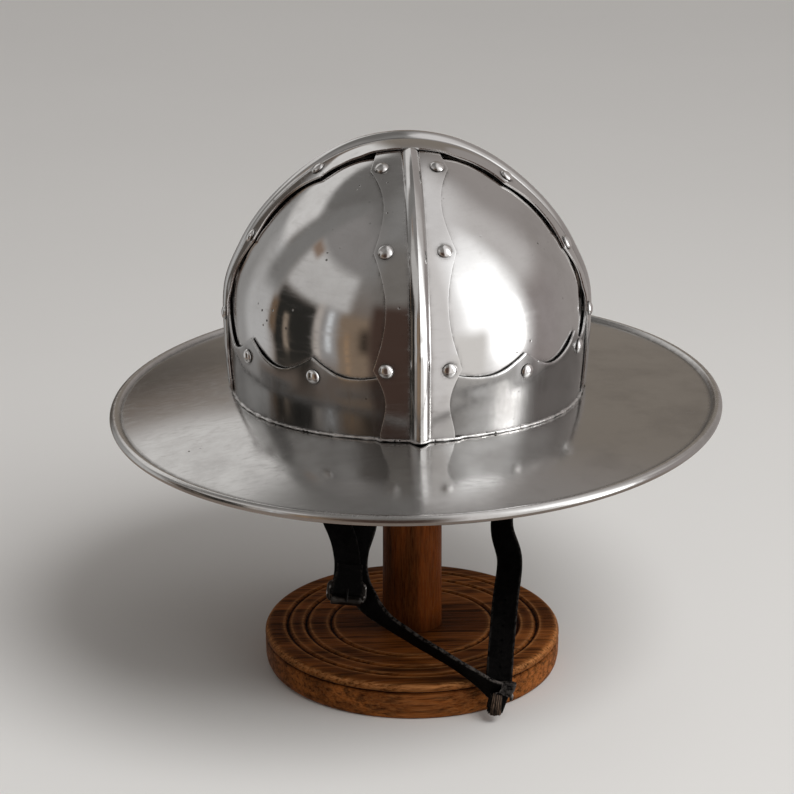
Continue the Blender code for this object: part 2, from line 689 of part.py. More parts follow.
def rivet_list():
    """Every rivet with its place on the outer face, the outward direction and what it goes through."""
    rivets = []
    for band in (FRONT_BAND, SIDE_BAND):
        for edge, row in band["rivets"].items():
            for number, (near, distance) in enumerate(row):
                station = near if edge[0] == "a" else 2 * BAND_TOP - near
                across = (-distance if edge[1] == "l" else distance) + band["shift"]
                lift = band_lift(near, band["over_brow"], band["over_top"])

                def place(s, v):
                    return band_place(band, s, v, lift)

                rivets.append({
                    "name": f"rivet_{band['name']}_{edge[0]}{number + 1}{edge[1]}",
                    "at": place(station, across),
                    "out": surface_normal(place, station, across),
                    "long": lift > 2 * SHEET,
                    "through": [band["name"]] + (["brow_band"] if lift > 2 * SHEET else []),
                })
    for row in BROW_RIVETS:
        degrees = row["azimuth"]
        level = SKULL_LEVEL + row["height"]

        def place(s, v):
            turned = azimuth_direction(degrees + math.degrees(v / BAND_RADIUS))
            return wall_point(turned, level + s, BROW_LIFT)

        rivets.append({
            "name": f"rivet_brow_{degrees:03.0f}",
            "at": place(0, 0),
            "out": surface_normal(place, 0, 0),
            "long": False,
            "through": ["brow_band"],
        })
    return rivets


PLATE_NAMES = ("plate_front_right", "plate_back_right", "plate_back_left", "plate_front_left")


def plate_under(point):
    """The quarter plate that lies under a point."""
    angle = math.atan2(point.y, point.x - SKULL_X)
    return PLATE_NAMES[int((angle + math.pi / 2) // (math.pi / 2)) % 4]


def cut_holes(target, holes):
    """Cuts round holes through a sheet, one for each place and direction."""
    shape = bmesh.new()
    for place, out in holes:
        turn = out.to_track_quat("Z", "Y").to_matrix().to_4x4()
        turn.translation = place
        bmesh.ops.create_cone(
            shape,
            cap_ends=True,
            segments=HOLE_SIDES,
            radius1=HOLE_RADIUS,
            radius2=HOLE_RADIUS,
            depth=0.012,
            matrix=turn,
        )
    mesh = bpy.data.meshes.new(f"{target.name}_holes")
    shape.to_mesh(mesh)
    shape.free()
    cut = target.modifiers.new("holes", "BOOLEAN")
    cut.object = add_cutter(f"{target.name}_holes", mesh)
    cut.operation = "DIFFERENCE"
    cut.solver = "EXACT"


def make_rivets(sheets):
    stack = GAP + SHEET + LAYER_GAP + SHEET + PLATE_SLACK + GAP
    short = rivet_mesh("rivet_short", stack)
    long = rivet_mesh("rivet_long", stack + LAYER_GAP + SHEET)
    holes = {name: [] for name in sheets}
    for rivet in rivet_list():
        thing = add_object(rivet["name"], long if rivet["long"] else short, "rivet_steel")
        thing.location = rivet["at"] + GAP * rivet["out"]
        thing.rotation_euler = rivet["out"].to_track_quat("Z", "Y").to_euler()
        for name in rivet["through"] + [plate_under(rivet["at"])]:
            holes[name].append((rivet["at"], rivet["out"]))
    return holes


# Stand


def make_stand():
    top = BASE_HEIGHT
    profile = [(0, top - TENON_LENGTH - GAP), (TENON_RADIUS + GAP, top - TENON_LENGTH - GAP)]
    profile += [(TENON_RADIUS + GAP, top)]
    for share in reversed(GROOVES):
        middle = share * BASE_RADIUS
        profile += [(middle - GROOVE_HALF, top), (middle, top - GROOVE_DEPTH), (middle + GROOVE_HALF, top)]
    profile += [
        (BASE_RADIUS - 0.0045, top),
        (BASE_RADIUS - 0.0013, top - 0.0012),
        (BASE_RADIUS, top - 0.0042),
        (BASE_RADIUS - 0.0008, top - 0.0051),
        (BASE_RADIUS - 0.0002, top - 0.0060),
        (BASE_RADIUS - 0.0010, 0.0012),
        (BASE_RADIUS - 0.0022, 0),
        (0, 0),
    ]
    base = add_object("stand_base", turned_mesh("stand_base", profile, 44), "dark_wood")
    base.location = (STAND_X, 0, 0)

    cap_top = SKULL_LEVEL + SKULL_HEIGHT - SHEET - PLATE_SLACK - 0.0012
    cap_foot = cap_top - CAP_HEIGHT
    profile = [
        (0, cap_foot + TENON_LENGTH - GAP),
        (TENON_RADIUS, cap_foot + TENON_LENGTH - GAP),
        (TENON_RADIUS, cap_foot - GAP),
        (POST_RADIUS, cap_foot - GAP),
        (POST_RADIUS, top + GAP),
        (TENON_RADIUS, top + GAP),
        (TENON_RADIUS, top - TENON_LENGTH),
        (0, top - TENON_LENGTH),
    ]
    post = add_object("stand_post", turned_mesh("stand_post", profile, 28), "dark_wood")
    post.location = (STAND_X, 0, 0)

    profile = [(0, cap_top)]
    for share in (0.35, 0.65, 0.88, 0.98):
        profile.append((share * CAP_RADIUS, cap_top - CAP_CROWN * share * share))
    profile += [
        (CAP_RADIUS, cap_top - CAP_CROWN - 0.003),
        (CAP_RADIUS, cap_foot + 0.006),
        (POST_RADIUS + 0.008, cap_foot),
        (TENON_RADIUS + GAP, cap_foot),
        (TENON_RADIUS + GAP, cap_foot + TENON_LENGTH),
        (0, cap_foot + TENON_LENGTH),
    ]
    cap = add_object("stand_cap", turned_mesh("stand_cap", profile, 28), "dark_wood")
    cap.location = (STAND_X, 0, 0)


# Chin strap and buckle


def strap_rows(table):
    """The table's points and width directions in world coordinates."""
    rows = []
    for row in table:
        point = Vector((row["x"], row["y"], row["z"]))
        if row["ear"]:
            out = row["ear"] * SIDE_BAND["along"]
            point = wall_point(out, row["z"], STRAP_LIFT)
            width = Vector((out.y, -out.x, 0)) * row["ear"]
        else:
            width = Vector((row["wx"], row["wy"], row["wz"]))
        rows.append((point, width))
    return rows


def smooth_between(values, k, t):
    """Catmull-Rom through a list of vectors."""
    before = values[max(k - 1, 0)]
    after = values[min(k + 2, len(values) - 1)]
    a, b = values[k], values[k + 1]
    return 0.5 * (
        2 * a
        + (b - before) * t
        + (2 * before - 5 * a + 4 * b - after) * t * t
        + (3 * a - before - 3 * b + after) * t * t * t
    )


def make_strap(name, table):
    rows = strap_rows(table)
    points = [point for point, _ in rows]
    widths = [width.normalized() for _, width in rows]
    line = []
    for k in range(len(points) - 1):
        count = max(1, round((points[k + 1] - points[k]).length / STRAP_STEP))
        for step in range(count):
            line.append((smooth_between(points, k, step / count), smooth_between(widths, k, step / count)))
    line.append((points[-1], widths[-1]))
    edges = []
    for k, (point, width) in enumerate(line):
        ahead = line[min(k + 1, len(line) - 1)][0]
        behind = line[max(k - 1, 0)][0]
        run = (ahead - behind).normalized()
        width = (width - width.dot(run) * run).normalized()
        edges.append((point - STRAP_WIDTH / 2 * width, point + STRAP_WIDTH / 2 * width))

    def place(column, row):
        return edges[row][column]

    strap = sheet_object(name, 1, len(edges) - 1, place, "black_leather", STRAP_THICKNESS, 0)
    length = sum((b[0] - a[0]).length for a, b in zip(line, line[1:]))
    print(f"{name}: {length:.3f} m along its middle")
    return strap


def make_strap_rivets(sheets):
    """A hidden rivet at each ear through the strap and the brow band, its burr inside the ridge."""
    for name, side in (("left", -1), ("right", 1)):
        out = side * SIDE_BAND["along"]
        inner = wall_point(out, STRAP_RIVET_LEVEL, STRAP_LIFT - STRAP_THICKNESS / 2 - GAP)
        length = BROW_LIFT - STRAP_LIFT + STRAP_THICKNESS / 2 + 2 * GAP
        profile = [
            (0, 0.0016),
            (0.0030, 0.0010),
            (0.0040, 0),
            (0.0015, 0),
            (0.0015, -length),
            (0.0024, -length),
            (0, -length - 0.0008),
        ]
        mesh = turned_mesh(f"strap_rivet_{name}", profile, 8)
        thing = add_object(f"strap_rivet_{name}", mesh, "rivet_steel")
        thing.location = inner
        thing.rotation_euler = (-out).to_track_quat("Z", "Y").to_euler()
        for sheet in ("brow_band", f"strap_{name}"):
            sheets[sheet].append((inner + 0.004 * out, out))


def curve_mesh(name, points, radius, cyclic, resolution=2):
    """A wire along points, turned into a mesh with welded caps."""
    path = bpy.data.curves.new(name, "CURVE")
    path.dimensions = "3D"
    path.bevel_depth = radius
    path.bevel_resolution = resolution
    path.use_fill_caps = True
    line = path.splines.new("POLY")
    line.points.add(len(points) - 1)
    for knot, point in zip(line.points, points):
        knot.co = (*point, 1)
    line.use_cyclic_u = cyclic
    guide = bpy.data.objects.new(name, path)
    bpy.context.scene.collection.objects.link(guide)
    ready = guide.evaluated_get(bpy.context.evaluated_depsgraph_get())
    mesh = bpy.data.meshes.new_from_object(ready)
    bpy.data.objects.remove(guide, do_unlink=True)
    shape = bmesh.new()
    shape.from_mesh(mesh)
    bmesh.ops.remove_doubles(shape, verts=shape.verts, dist=1e-6)
    bmesh.ops.recalc_face_normals(shape, faces=shape.faces)
    shape.to_mesh(mesh)
    shape.free()
    return mesh


def make_buckle():
    holder = bpy.data.objects.new("buckle_place", None)
    parts.objects.link(holder)
    holder.location = BUCKLE_PLACE
    holder.rotation_euler = (BUCKLE_LEAN, BUCKLE_TILT, 0)
    half = BUCKLE_WIDTH / 2 - BUCKLE_WIRE
    rise = BUCKLE_HEIGHT
    corner = 0.0022
    loop = []
    for x, z, start in ((half, 0, -90), (half, rise, 0), (-half, rise, 90), (-half, 0, 180)):
        inward = Vector((-math.copysign(corner, x), 0, corner if z == 0 else -corner))
        for turn in (0, 45, 90):
            angle = math.radians(start + turn)
            loop.append(Vector((x, 0, z)) + inward + corner * Vector((math.cos(angle), 0, math.sin(angle))))
    frame = add_object("buckle_frame", curve_mesh("buckle_frame", loop, BUCKLE_WIRE, True, 1), "black_metal")
    frame.parent = holder

    bore = BUCKLE_WIRE + GAP
    length = ROLLER_LENGTH / 2
    profile = [
        (bore, length),
        (ROLLER_RADIUS, length),
        (ROLLER_RADIUS, -length),
        (bore, -length),
        (bore, length),
    ]
    roller = add_object("buckle_roller", turned_mesh("buckle_roller", profile, 14), "black_metal")
    roller.rotation_euler = (0, math.pi / 2, 0)
    roller.parent = holder

    reach = rise - BUCKLE_WIRE - GAP - TONGUE_RADIUS
    tip = [
        Vector((0, -BUCKLE_WIRE - 0.5 * TONGUE_RADIUS, reach)),
        Vector((0, -ROLLER_RADIUS - TONGUE_RADIUS - GAP, ROLLER_RADIUS + 0.001)),
        Vector((0, -ROLLER_RADIUS - TONGUE_RADIUS - GAP, 0)),
    ]
    mesh = curve_mesh("buckle_tongue", tip, TONGUE_RADIUS, False, 1)
    tongue = add_object("buckle_tongue", mesh, "black_metal")
    tongue.parent = holder


def box_mesh(name, size, bevel):
    shape = bmesh.new()
    bmesh.ops.create_cube(shape, size=1)
    bmesh.ops.scale(shape, vec=size, verts=shape.verts)
    if bevel:
        bmesh.ops.bevel(shape, geom=shape.edges[:], offset=bevel, segments=1, affect="EDGES")
    mesh = bpy.data.meshes.new(name)
    shape.to_mesh(mesh)
    shape.free()
    return mesh


def make_fitting():
    """The folded raw end, the loop of leather bent over it and the stud at the loop's side."""
    low = Vector(FOLD_LOW)
    high = Vector(FOLD_HIGH)
    fold = add_object("strap_fold", box_mesh("strap_fold", high - low, 0.0010), "raw_leather")
    fold.location = (low + high) / 2

    arc = 8

    def place(column, row):
        angle = math.pi * row / arc
        across = (column - 0.5) * KEEPER_WIDTH
        return Vector((across, -KEEPER_RADIUS * math.cos(angle), KEEPER_RADIUS * math.sin(angle)))

    keeper = sheet_object("strap_keeper", 1, arc, place, "black_leather", KEEPER_WALL, 0)
    keeper.location = KEEPER_PLACE
    keeper.rotation_euler = (0, KEEPER_TILT, 0)

    profile = [
        (0, 0.0014),
        (STUD_RADIUS * 0.7, 0.0010),
        (STUD_RADIUS, 0),
        (0, 0),
    ]
    stud = add_object("strap_stud", turned_mesh("strap_stud", profile, 10), "black_metal")
    stud.location = (high.x + GAP, (low.y + high.y) / 2, high.z - 0.8 * STUD_RADIUS)
    stud.rotation_euler = (0, math.pi / 2, 0)


def main():
    global parts, cutters
    clear_scene()
    parts = new_collection("kettle_hat")
    cutters = new_collection("cutters")
    sheets = {name: make_plate(name, quarter) for quarter, name in enumerate(PLATE_NAMES)}
    sheets["brow_band"] = make_brow_band()
    sheets["front_back_band"] = make_band(FRONT_BAND)
    sheets["side_band"] = make_band(SIDE_BAND)
    make_brim()
    sheets["strap_left"] = make_strap("strap_left", STRAP_LEFT)
    sheets["strap_right"] = make_strap("strap_right", STRAP_RIGHT)
    make_strap("strap_cross", STRAP_CROSS)
    holes = make_rivets(sheets)
    make_strap_rivets(holes)
    for name, places in holes.items():
        cut_holes(sheets[name], places)
    make_stand()
    make_buckle()
    make_fitting()


main()
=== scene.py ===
# Kettle hat of riveted steel on its turned wooden stand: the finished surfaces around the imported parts
import math

import bpy
from mathutils import Matrix, Vector, noise


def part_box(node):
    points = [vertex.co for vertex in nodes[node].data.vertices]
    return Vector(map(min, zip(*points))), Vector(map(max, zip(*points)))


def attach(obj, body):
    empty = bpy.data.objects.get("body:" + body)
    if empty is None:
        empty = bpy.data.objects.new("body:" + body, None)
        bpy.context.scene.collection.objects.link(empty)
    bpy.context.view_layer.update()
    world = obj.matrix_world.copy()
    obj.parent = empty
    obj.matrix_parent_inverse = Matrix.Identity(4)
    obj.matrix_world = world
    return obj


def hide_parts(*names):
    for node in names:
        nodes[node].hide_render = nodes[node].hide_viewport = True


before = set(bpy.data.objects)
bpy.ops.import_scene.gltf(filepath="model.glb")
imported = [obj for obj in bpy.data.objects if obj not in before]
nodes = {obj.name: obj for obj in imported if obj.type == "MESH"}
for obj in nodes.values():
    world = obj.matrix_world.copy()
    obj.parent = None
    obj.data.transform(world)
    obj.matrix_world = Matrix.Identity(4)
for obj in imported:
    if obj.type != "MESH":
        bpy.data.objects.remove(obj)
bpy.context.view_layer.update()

print("frame loaded:", len(nodes), "parts")


# tools for node trees

def addNode(tree, kind, inputs=None, **properties):
    made = tree.nodes.new(kind)
    for key, value in properties.items():
        setattr(made, key, value)
    feed(tree, made, inputs or {})
    return made


def feed(tree, node, inputs):
    for key, value in inputs.items():
        socket = node.inputs[key]
        if isinstance(value, bpy.types.NodeSocket):
            tree.links.new(value, socket)
        elif socket.type == "RGBA":
            socket.default_value = (*value, 1.0)
        else:
            socket.default_value = value


def calculate(tree, operation, first, second=0.0, third=0.0, clamp=False):
    inputs = {0: first, 1: second, 2: third}
    return addNode(tree, "ShaderNodeMath", inputs, operation=operation, use_clamp=clamp).outputs[0]


def multiply(tree, first, second, clamp=False):
    return calculate(tree, "MULTIPLY", first, second, clamp=clamp)


def rangeOf(tree, value, low, high, start=0.0, end=1.0):
    inputs = {"Value": value, "From Min": low, "From Max": high, "To Min": start, "To Max": end}
    return addNode(tree, "ShaderNodeMapRange", inputs, interpolation_type="SMOOTHSTEP").outputs["Result"]


def mixColour(tree, factor, first, second):
    inputs = {"Factor": factor, 6: first, 7: second}
    return addNode(tree, "ShaderNodeMix", inputs, data_type="RGBA").outputs[2]


def newMaterial(name):
    material = bpy.data.materials.new(name)
    material.use_nodes = True
    tree = material.node_tree
    place = addNode(tree, "ShaderNodeTexCoord").outputs["Object"]
    return material, tree, tree.nodes["Principled BSDF"], place


def noiseAt(tree, place, scale, detail=3.0, roughness=0.55, stretch=None):
    if stretch:
        place = addNode(tree, "ShaderNodeMapping", {"Vector": place, "Scale": stretch}).outputs[0]
    inputs = {"Vector": place, "Scale": scale, "Detail": detail, "Roughness": roughness}
    return addNode(tree, "ShaderNodeTexNoise", inputs).outputs["Fac"]


def cellsAt(tree, place, scale):
    return addNode(tree, "ShaderNodeTexVoronoi", {"Vector": place, "Scale": scale}).outputs["Distance"]


def attributeAt(tree, name):
    return addNode(tree, "ShaderNodeAttribute", attribute_name=name).outputs["Fac"]


# what is painted on the piece, broken up by a noise
def speckled(tree, name, speck, *span):
    return multiply(tree, attributeAt(tree, name), rangeOf(tree, speck, *span), clamp=True)


def bumpOn(tree, height, distance, normal=None):
    inputs = {"Height": height, "Distance": distance}
    if normal:
        inputs["Normal"] = normal
    return addNode(tree, "ShaderNodeBump", inputs).outputs["Normal"]


# camera and studio

cameraSettings = {"place": (-0.1028, -1.5015, 0.7132), "target": (-0.01088, 0.00067, 0.1699),
                  "lens": 121.2, "sensor": 36.0, "clipStart": 0.01}

# matt surfaces get only matteShare of the windows' light, so the lamp models them more
studioSettings = {
    "strength": 1.55, "matteShare": 0.7, "backdrop": (0.8, 0.79, 0.77),
    "floorColour": (0.8, 0.79, 0.77), "floorMottle": 0.96, "floorSize": 14.0,
    "lampPlace": (0.75, -0.95, 1.75), "lampTarget": (0, 0, 0.15), "lampSize": 1.3, "lampPower": 27.0,
    "skyLow": (0.12, 0.09, 0.07), "skyHigh": (0.17, 0.165, 0.16), "skyRise": 60.0,
}

# soft windows round the hat, in degrees: middle and half size of the azimuth, from the front towards
# the right, the same of the elevation, the softness of both, and the tone; later ones cover earlier ones
windowInputs = ("azimuth", "elevation", "azMiddle", "azHalf", "elMiddle", "elHalf", "azSoft", "elSoft")
studioWindows = {
    "groundGlow": (0, 200, -60, 36, 4, 14, (0.17, 0.14, 0.12)),
    "ceilingLeft": (-130, 62, 60, 20, 14, 10, (0.12, 0.115, 0.11)),
    "ceilingRight": (90, 80, 72, 22, 14, 10, (0.52, 0.505, 0.5)),
    "leftHigh": (-82, 34, 57, 14, 12, 8, (0.19, 0.18, 0.175)),
    "leftFar": (-138, 22, 1, 23, 4, 4, (0.22, 0.215, 0.21)),
    "leftWall": (-119, 14, 1, 23, 7, 4, (0.35, 0.345, 0.34)),
    "leftBack": (-150, 27, 32, 10, 4, 3, (0.52, 0.51, 0.5)),
    "behindLeft": (-166, 14, -2, 17, 5, 4, (0.06, 0.052, 0.045)),
    "leftPanel": (-75, 28, 31, 13, 5, 4, (0.39, 0.38, 0.37)),
    "leftShade": (-112, 9, 40, 30, 5, 6, (0.155, 0.15, 0.145)),
    "smallBeam": (-97, 6, 41, 3, 3, 2, (0.18, 0.13, 0.1)),
    "darkDoor": (-85, 17, -3, 20, 3, 4, (0.018, 0.017, 0.015)),
    "doorLight": (-91, 2, -7, 11, 1.5, 2, (0.2, 0.16, 0.125)),
    "doorFrame": (-103, 3, -1, 9, 2, 3, (0.11, 0.075, 0.05)),
    "palePost": (-66, 3, 0, 20, 2, 4, (0.34, 0.31, 0.285)),
    "greyPost": (-57, 7, 0, 20, 2, 4, (0.22, 0.21, 0.205)),
    "brightSlit": (-58, 2, 3, 15, 1.5, 3, (0.48, 0.49, 0.5)),
    "brownWall": (-41, 11, -4, 22, 3, 5, (0.165, 0.122, 0.088)),
    "brownSlit": (-45, 1.5, -8, 13, 1.5, 4, (0.24, 0.16, 0.1)),
    "darkShape": (-33, 4, 0, 10, 4, 6, (0.035, 0.026, 0.02)),
    "viewerHigh": (-14, 17, 47, 20, 6, 8, (0.14, 0.13, 0.12)),
    "viewer": (-14, 16, -1, 31, 4, 5, (0.045, 0.028, 0.022)),
    "frontGlow": (21, 12, 22, 56, 6, 8, (0.53, 0.51, 0.5)),
    "rightGrey": (102, 24, 40, 24, 14, 12, (0.43, 0.41, 0.4)),
    "rightLow": (104, 28, -4, 21, 10, 10, (0.24, 0.215, 0.21)),
    "rightBack": (140, 26, 12, 44, 16, 14, (0.24, 0.22, 0.21)),
    "backWall": (172, 13, 16, 18, 5, 8, (0.16, 0.14, 0.12)),
    "softBox": (57, 24, 16, 38, 11, 20, (1.2, 1.2, 1.2)),
    "boxCorner": (38, 13, -14, 20, 5, 7, (0.55, 0.53, 0.51)),
    "boxCore": (67, 9, 0, 15, 6, 8, (4.2, 4.2, 4.2)),
}


def makeWindowGroup():
    group = bpy.data.node_groups.new("softWindow", "ShaderNodeTree")
    for name in windowInputs:
        group.interface.new_socket(name, in_out="INPUT", socket_type="NodeSocketFloat")
    group.interface.new_socket("share", in_out="OUTPUT", socket_type="NodeSocketFloat")
    source = group.nodes.new("NodeGroupInput").outputs
    result = group.nodes.new("NodeGroupOutput")
    shares = []
    for axis, short in (("azimuth", "az"), ("elevation", "el")):
        away = calculate(group, "SUBTRACT", source[axis], source[short + "Middle"])
        away = calculate(group, "ABSOLUTE", calculate(group, "WRAP", away, 180.0, -180.0))
        half, soft = source[short + "Half"], source[short + "Soft"]
        inner = calculate(group, "SUBTRACT", half, soft)
        outer = calculate(group, "ADD", half, soft)
        shares.append(rangeOf(group, away, inner, outer, 1.0, 0.0))
    group.links.new(multiply(group, *shares), result.inputs["share"])
    return group


def makeWorld():
    look = studioSettings
    world = bpy.data.worlds.new("studio")
    bpy.context.scene.world = world
    world.use_nodes = True
    tree = world.node_tree
    tree.nodes.clear()
    direction = addNode(tree, "ShaderNodeTexCoord").outputs["Generated"]
    axes = addNode(tree, "ShaderNodeSeparateXYZ", {0: direction}).outputs
    front = multiply(tree, axes["Y"], -1.0)
    azimuth = calculate(tree, "DEGREES", calculate(tree, "ARCTAN2", axes["X"], front))
    elevation = calculate(tree, "DEGREES", calculate(tree, "ARCSINE", axes["Z"]))
    sky = rangeOf(tree, elevation, 0.0, look["skyRise"])
    colour = mixColour(tree, sky, look["skyLow"], look["skyHigh"])
    group = makeWindowGroup()
    for name, (*numbers, tone) in studioWindows.items():
        inputs = dict(zip(windowInputs, (azimuth, elevation, *numbers)))
        window = addNode(tree, "ShaderNodeGroup", inputs, node_tree=group)
        window.name = name
        colour = mixColour(tree, window.outputs["share"], colour, tone)
    rays = addNode(tree, "ShaderNodeLightPath").outputs
    matte = look["strength"] * look["matteShare"]
    strength = rangeOf(tree, rays["Is Diffuse Ray"], 0.0, 1.0, look["strength"], matte)
    lit = addNode(tree, "ShaderNodeBackground", {"Color": colour, "Strength": strength}).outputs[0]
    seen = addNode(tree, "ShaderNodeBackground", {"Color": look["backdrop"], "Strength": 1.0}).outputs[0]
    both = addNode(tree, "ShaderNodeMixShader", {0: rays["Is Camera Ray"], 1: lit, 2: seen}).outputs[0]
    addNode(tree, "ShaderNodeOutputWorld", {"Surface": both})


# a camera or a lamp that looks from one place to another
def aimAt(name, data, place, target):
    made = bpy.data.objects.new(name, data)
    bpy.context.scene.collection.objects.link(made)
    made.location = place
    made.rotation_euler = (Vector(target) - Vector(place)).to_track_quat("-Z", "Y").to_euler()
    return made


def makeCamera():
    data = bpy.data.cameras.new("camera")
    data.lens = cameraSettings["lens"]
    data.sensor_width = cameraSettings["sensor"]
    data.clip_start = cameraSettings["clipStart"]
    bpy.context.scene.camera = aimAt("camera", data, cameraSettings["place"], cameraSettings["target"])


def makeLamp():
    data = bpy.data.lights.new("overheadSoft", "AREA")
    data.shape = "DISK"
    data.size = studioSettings["lampSize"]
    data.energy = studioSettings["lampPower"]
    lamp = aimAt("overheadSoft", data, studioSettings["lampPlace"], studioSettings["lampTarget"])
    lamp.visible_glossy = False


def makeFloor():
    bpy.ops.object.select_all(action="DESELECT")
    bpy.ops.mesh.primitive_plane_add(size=studioSettings["floorSize"])
    floor = bpy.context.object
    floor.name = "floor"
    material, tree, shader, place = newMaterial("paleFloor")
    cloud = noiseAt(tree, place, 3.0, roughness=0.5)
    tone = studioSettings["floorColour"]
    darker = tuple(studioSettings["floorMottle"] * c for c in tone)
    feed(tree, shader, {"Base Color": mixColour(tree, cloud, tone, darker), "Roughness": 0.8,
                        "Specular IOR Level": 0.2})
    floor.data.materials.append(material)
    floor.visible_glossy = False


scene = bpy.context.scene
scene.view_settings.view_transform = "Standard"
makeWorld()
makeCamera()
makeLamp()
makeFloor()
print("studio ready")


# materials: colours, then roughness, then bumps and their scales, then pits

# the near black colour of seams and pits is pits, grime and painted shade in the gaps; bright is the
# colour of the painted edge highlight
plainSteel = {
    "grimeAndShade": (0.045, 0.037, 0.031), "bright": (0.86, 0.855, 0.85), "seamRough": 0.35, "rippleScale": 70.0,
    "brush": 0.0, "brushScale": 60.0, "brushRun": (1.0, 1.0, 1.0), "smear": 0.1, "pitScale": 150.0,
    "pitSize": 0.13, "pitSpread": (0.52, 0.66), "pitDepth": 0.00012, "patchy": (0.15, 1.25),
}
steelLooks = {
    "polishedSteel": {
        **plainSteel, "light": (0.67, 0.665, 0.66), "dull": (0.56, 0.55, 0.54),
        "smooth": 0.055, "rough": 0.115, "wave": 0.00016, "waveScale": 15.0, "ripple": 0.000022,
        "brush": 0.00001, "brushScale": 55.0, "brushRun": (1.0, 1.0, 7.0),
    },
    # the brow band's steel is darker than the plates': painted shade for the darker reflections on it
    "browSteel": {
        **plainSteel, "light": (0.37, 0.365, 0.36), "dull": (0.27, 0.262, 0.255),
        "smooth": 0.11, "rough": 0.18, "wave": 0.00022, "waveScale": 24.0, "ripple": 0.00002,
        "brush": 0.000008, "brushRun": (5.0, 5.0, 0.7),
    },
    "brushedSteel": {
        **plainSteel, "light": (0.63, 0.625, 0.615), "dull": (0.5, 0.49, 0.48),
        "grimeAndShade": (0.05, 0.042, 0.036), "bright": (0.8, 0.79, 0.78), "smooth": 0.12, "rough": 0.19,
        "wave": 0.0001, "waveScale": 9.0, "ripple": 0.000012, "rippleScale": 60.0,
        "brush": 0.000004, "brushScale": 90.0, "brushRun": (1.0, 5.0, 5.0), "pitScale": 120.0,
        "pitSize": 0.1, "pitSpread": (0.6, 0.72), "pitDepth": 0.0001, "patchy": (0.75, 1.15),
    },
    "rivetSteel": {
        **plainSteel, "light": (0.8, 0.795, 0.79), "dull": (0.58, 0.57, 0.56),
        "grimeAndShade": (0.045, 0.038, 0.032), "bright": (0.85, 0.85, 0.85), "smooth": 0.09, "rough": 0.2,
        "seamRough": 0.4, "wave": 0.00005, "waveScale": 130.0, "ripple": 0.000015, "rippleScale": 420.0,
        "smear": 0.05, "pitScale": 500.0, "pitSize": 0.14, "pitSpread": (0.54, 0.68), "pitDepth": 0.0001,
    },
    "weldSteel": {
        **plainSteel, "light": (0.88, 0.87, 0.86), "dull": (0.42, 0.4, 0.385),
        "grimeAndShade": (0.035, 0.03, 0.026), "bright": (0.9, 0.9, 0.9), "smooth": 0.26, "rough": 0.42,
        "seamRough": 0.4, "wave": 0.0006, "waveScale": 240.0, "ripple": 0.00025, "rippleScale": 800.0,
        "smear": 0.0, "pitScale": 360.0, "pitSize": 0.32, "pitSpread": (0.42, 0.58), "pitDepth": 0.0003,
        "patchy": (0.0, 1.6),
    },
}


def makeSteel(name):
    look = steelLooks[name]
    material, tree, shader, place = newMaterial(name)
    cloud = noiseAt(tree, place, 21.0, 5.0, 0.62)
    fine = noiseAt(tree, place, 150.0, 4.0, 0.6)
    hairs = noiseAt(tree, place, look["brushScale"], 6.0, 0.75, look["brushRun"])
    patina = rangeOf(tree, cloud, 0.42, 0.74)
    # seam: patina, and painted shade beside the bands, round the rivets and at the joint
    seam = speckled(tree, "seam", fine, 0.32, 0.6, *look["patchy"])
    cells = cellsAt(tree, place, look["pitScale"])
    sparse = rangeOf(tree, noiseAt(tree, place, 30.0, 3.0, 0.7), *look["pitSpread"])
    pits = rangeOf(tree, cells, look["pitSize"] * 0.5, look["pitSize"], 1.0, 0.0)
    pits = multiply(tree, pits, sparse, clamp=True)
    marksAndPaintedLight = calculate(tree, "MAXIMUM", seam, pits)
    # edge: a painted highlight, lighter and a little rougher
    edge = speckled(tree, "edge", fine, 0.3, 0.55, 0.35, 1.0)
    smear = multiply(tree, rangeOf(tree, hairs, 0.5, 0.68), look["smear"] * 2.0)
    colour = mixColour(tree, patina, look["light"], look["dull"])
    colour = mixColour(tree, smear, colour, look["dull"])
    colour = mixColour(tree, marksAndPaintedLight, colour, look["grimeAndShade"])
    colour = mixColour(tree, edge, colour, look["bright"])
    shine = rangeOf(tree, cloud, 0.36, 0.72, look["smooth"], look["rough"])
    shine = calculate(tree, "MULTIPLY_ADD", rangeOf(tree, hairs, 0.45, 0.72), look["smear"], shine)
    shine = calculate(tree, "MULTIPLY_ADD", edge, 0.16, shine)
    shine = calculate(tree, "MULTIPLY_ADD", marksAndPaintedLight, look["seamRough"], shine, clamp=True)
    normal = bumpOn(tree, noiseAt(tree, place, look["waveScale"], 1.5, 0.4), look["wave"])
    normal = bumpOn(tree, noiseAt(tree, place, look["rippleScale"], 2.0, 0.5), look["ripple"], normal)
    if look["brush"]:
        normal = bumpOn(tree, hairs, look["brush"], normal)
    normal = bumpOn(tree, multiply(tree, pits, -1.0), look["pitDepth"], normal)
    feed(tree, shader, {"Base Color": colour, "Metallic": 1.0, "Roughness": shine, "Normal": normal})
    return material


leatherLooks = {
    "blackLeather": {
        "deep": (0.0012, 0.0011, 0.0011), "high": (0.0042, 0.0038, 0.0036), "wearAndHighlight": (0.1, 0.088, 0.08),
        "smooth": 0.55, "rough": 0.8, "shine": 0.035, "grain": 760.0, "depth": 0.00014,
        "run": (1.0, 1.0, 1.0),
    },
    "rawLeather": {
        "deep": (0.002, 0.0014, 0.0011), "high": (0.014, 0.0085, 0.0055), "wearAndHighlight": (0.15, 0.1, 0.07),
        "smooth": 0.75, "rough": 0.95, "shine": 0.2, "grain": 500.0, "depth": 0.0003,
        "run": (3.2, 3.2, 0.35),
    },
}


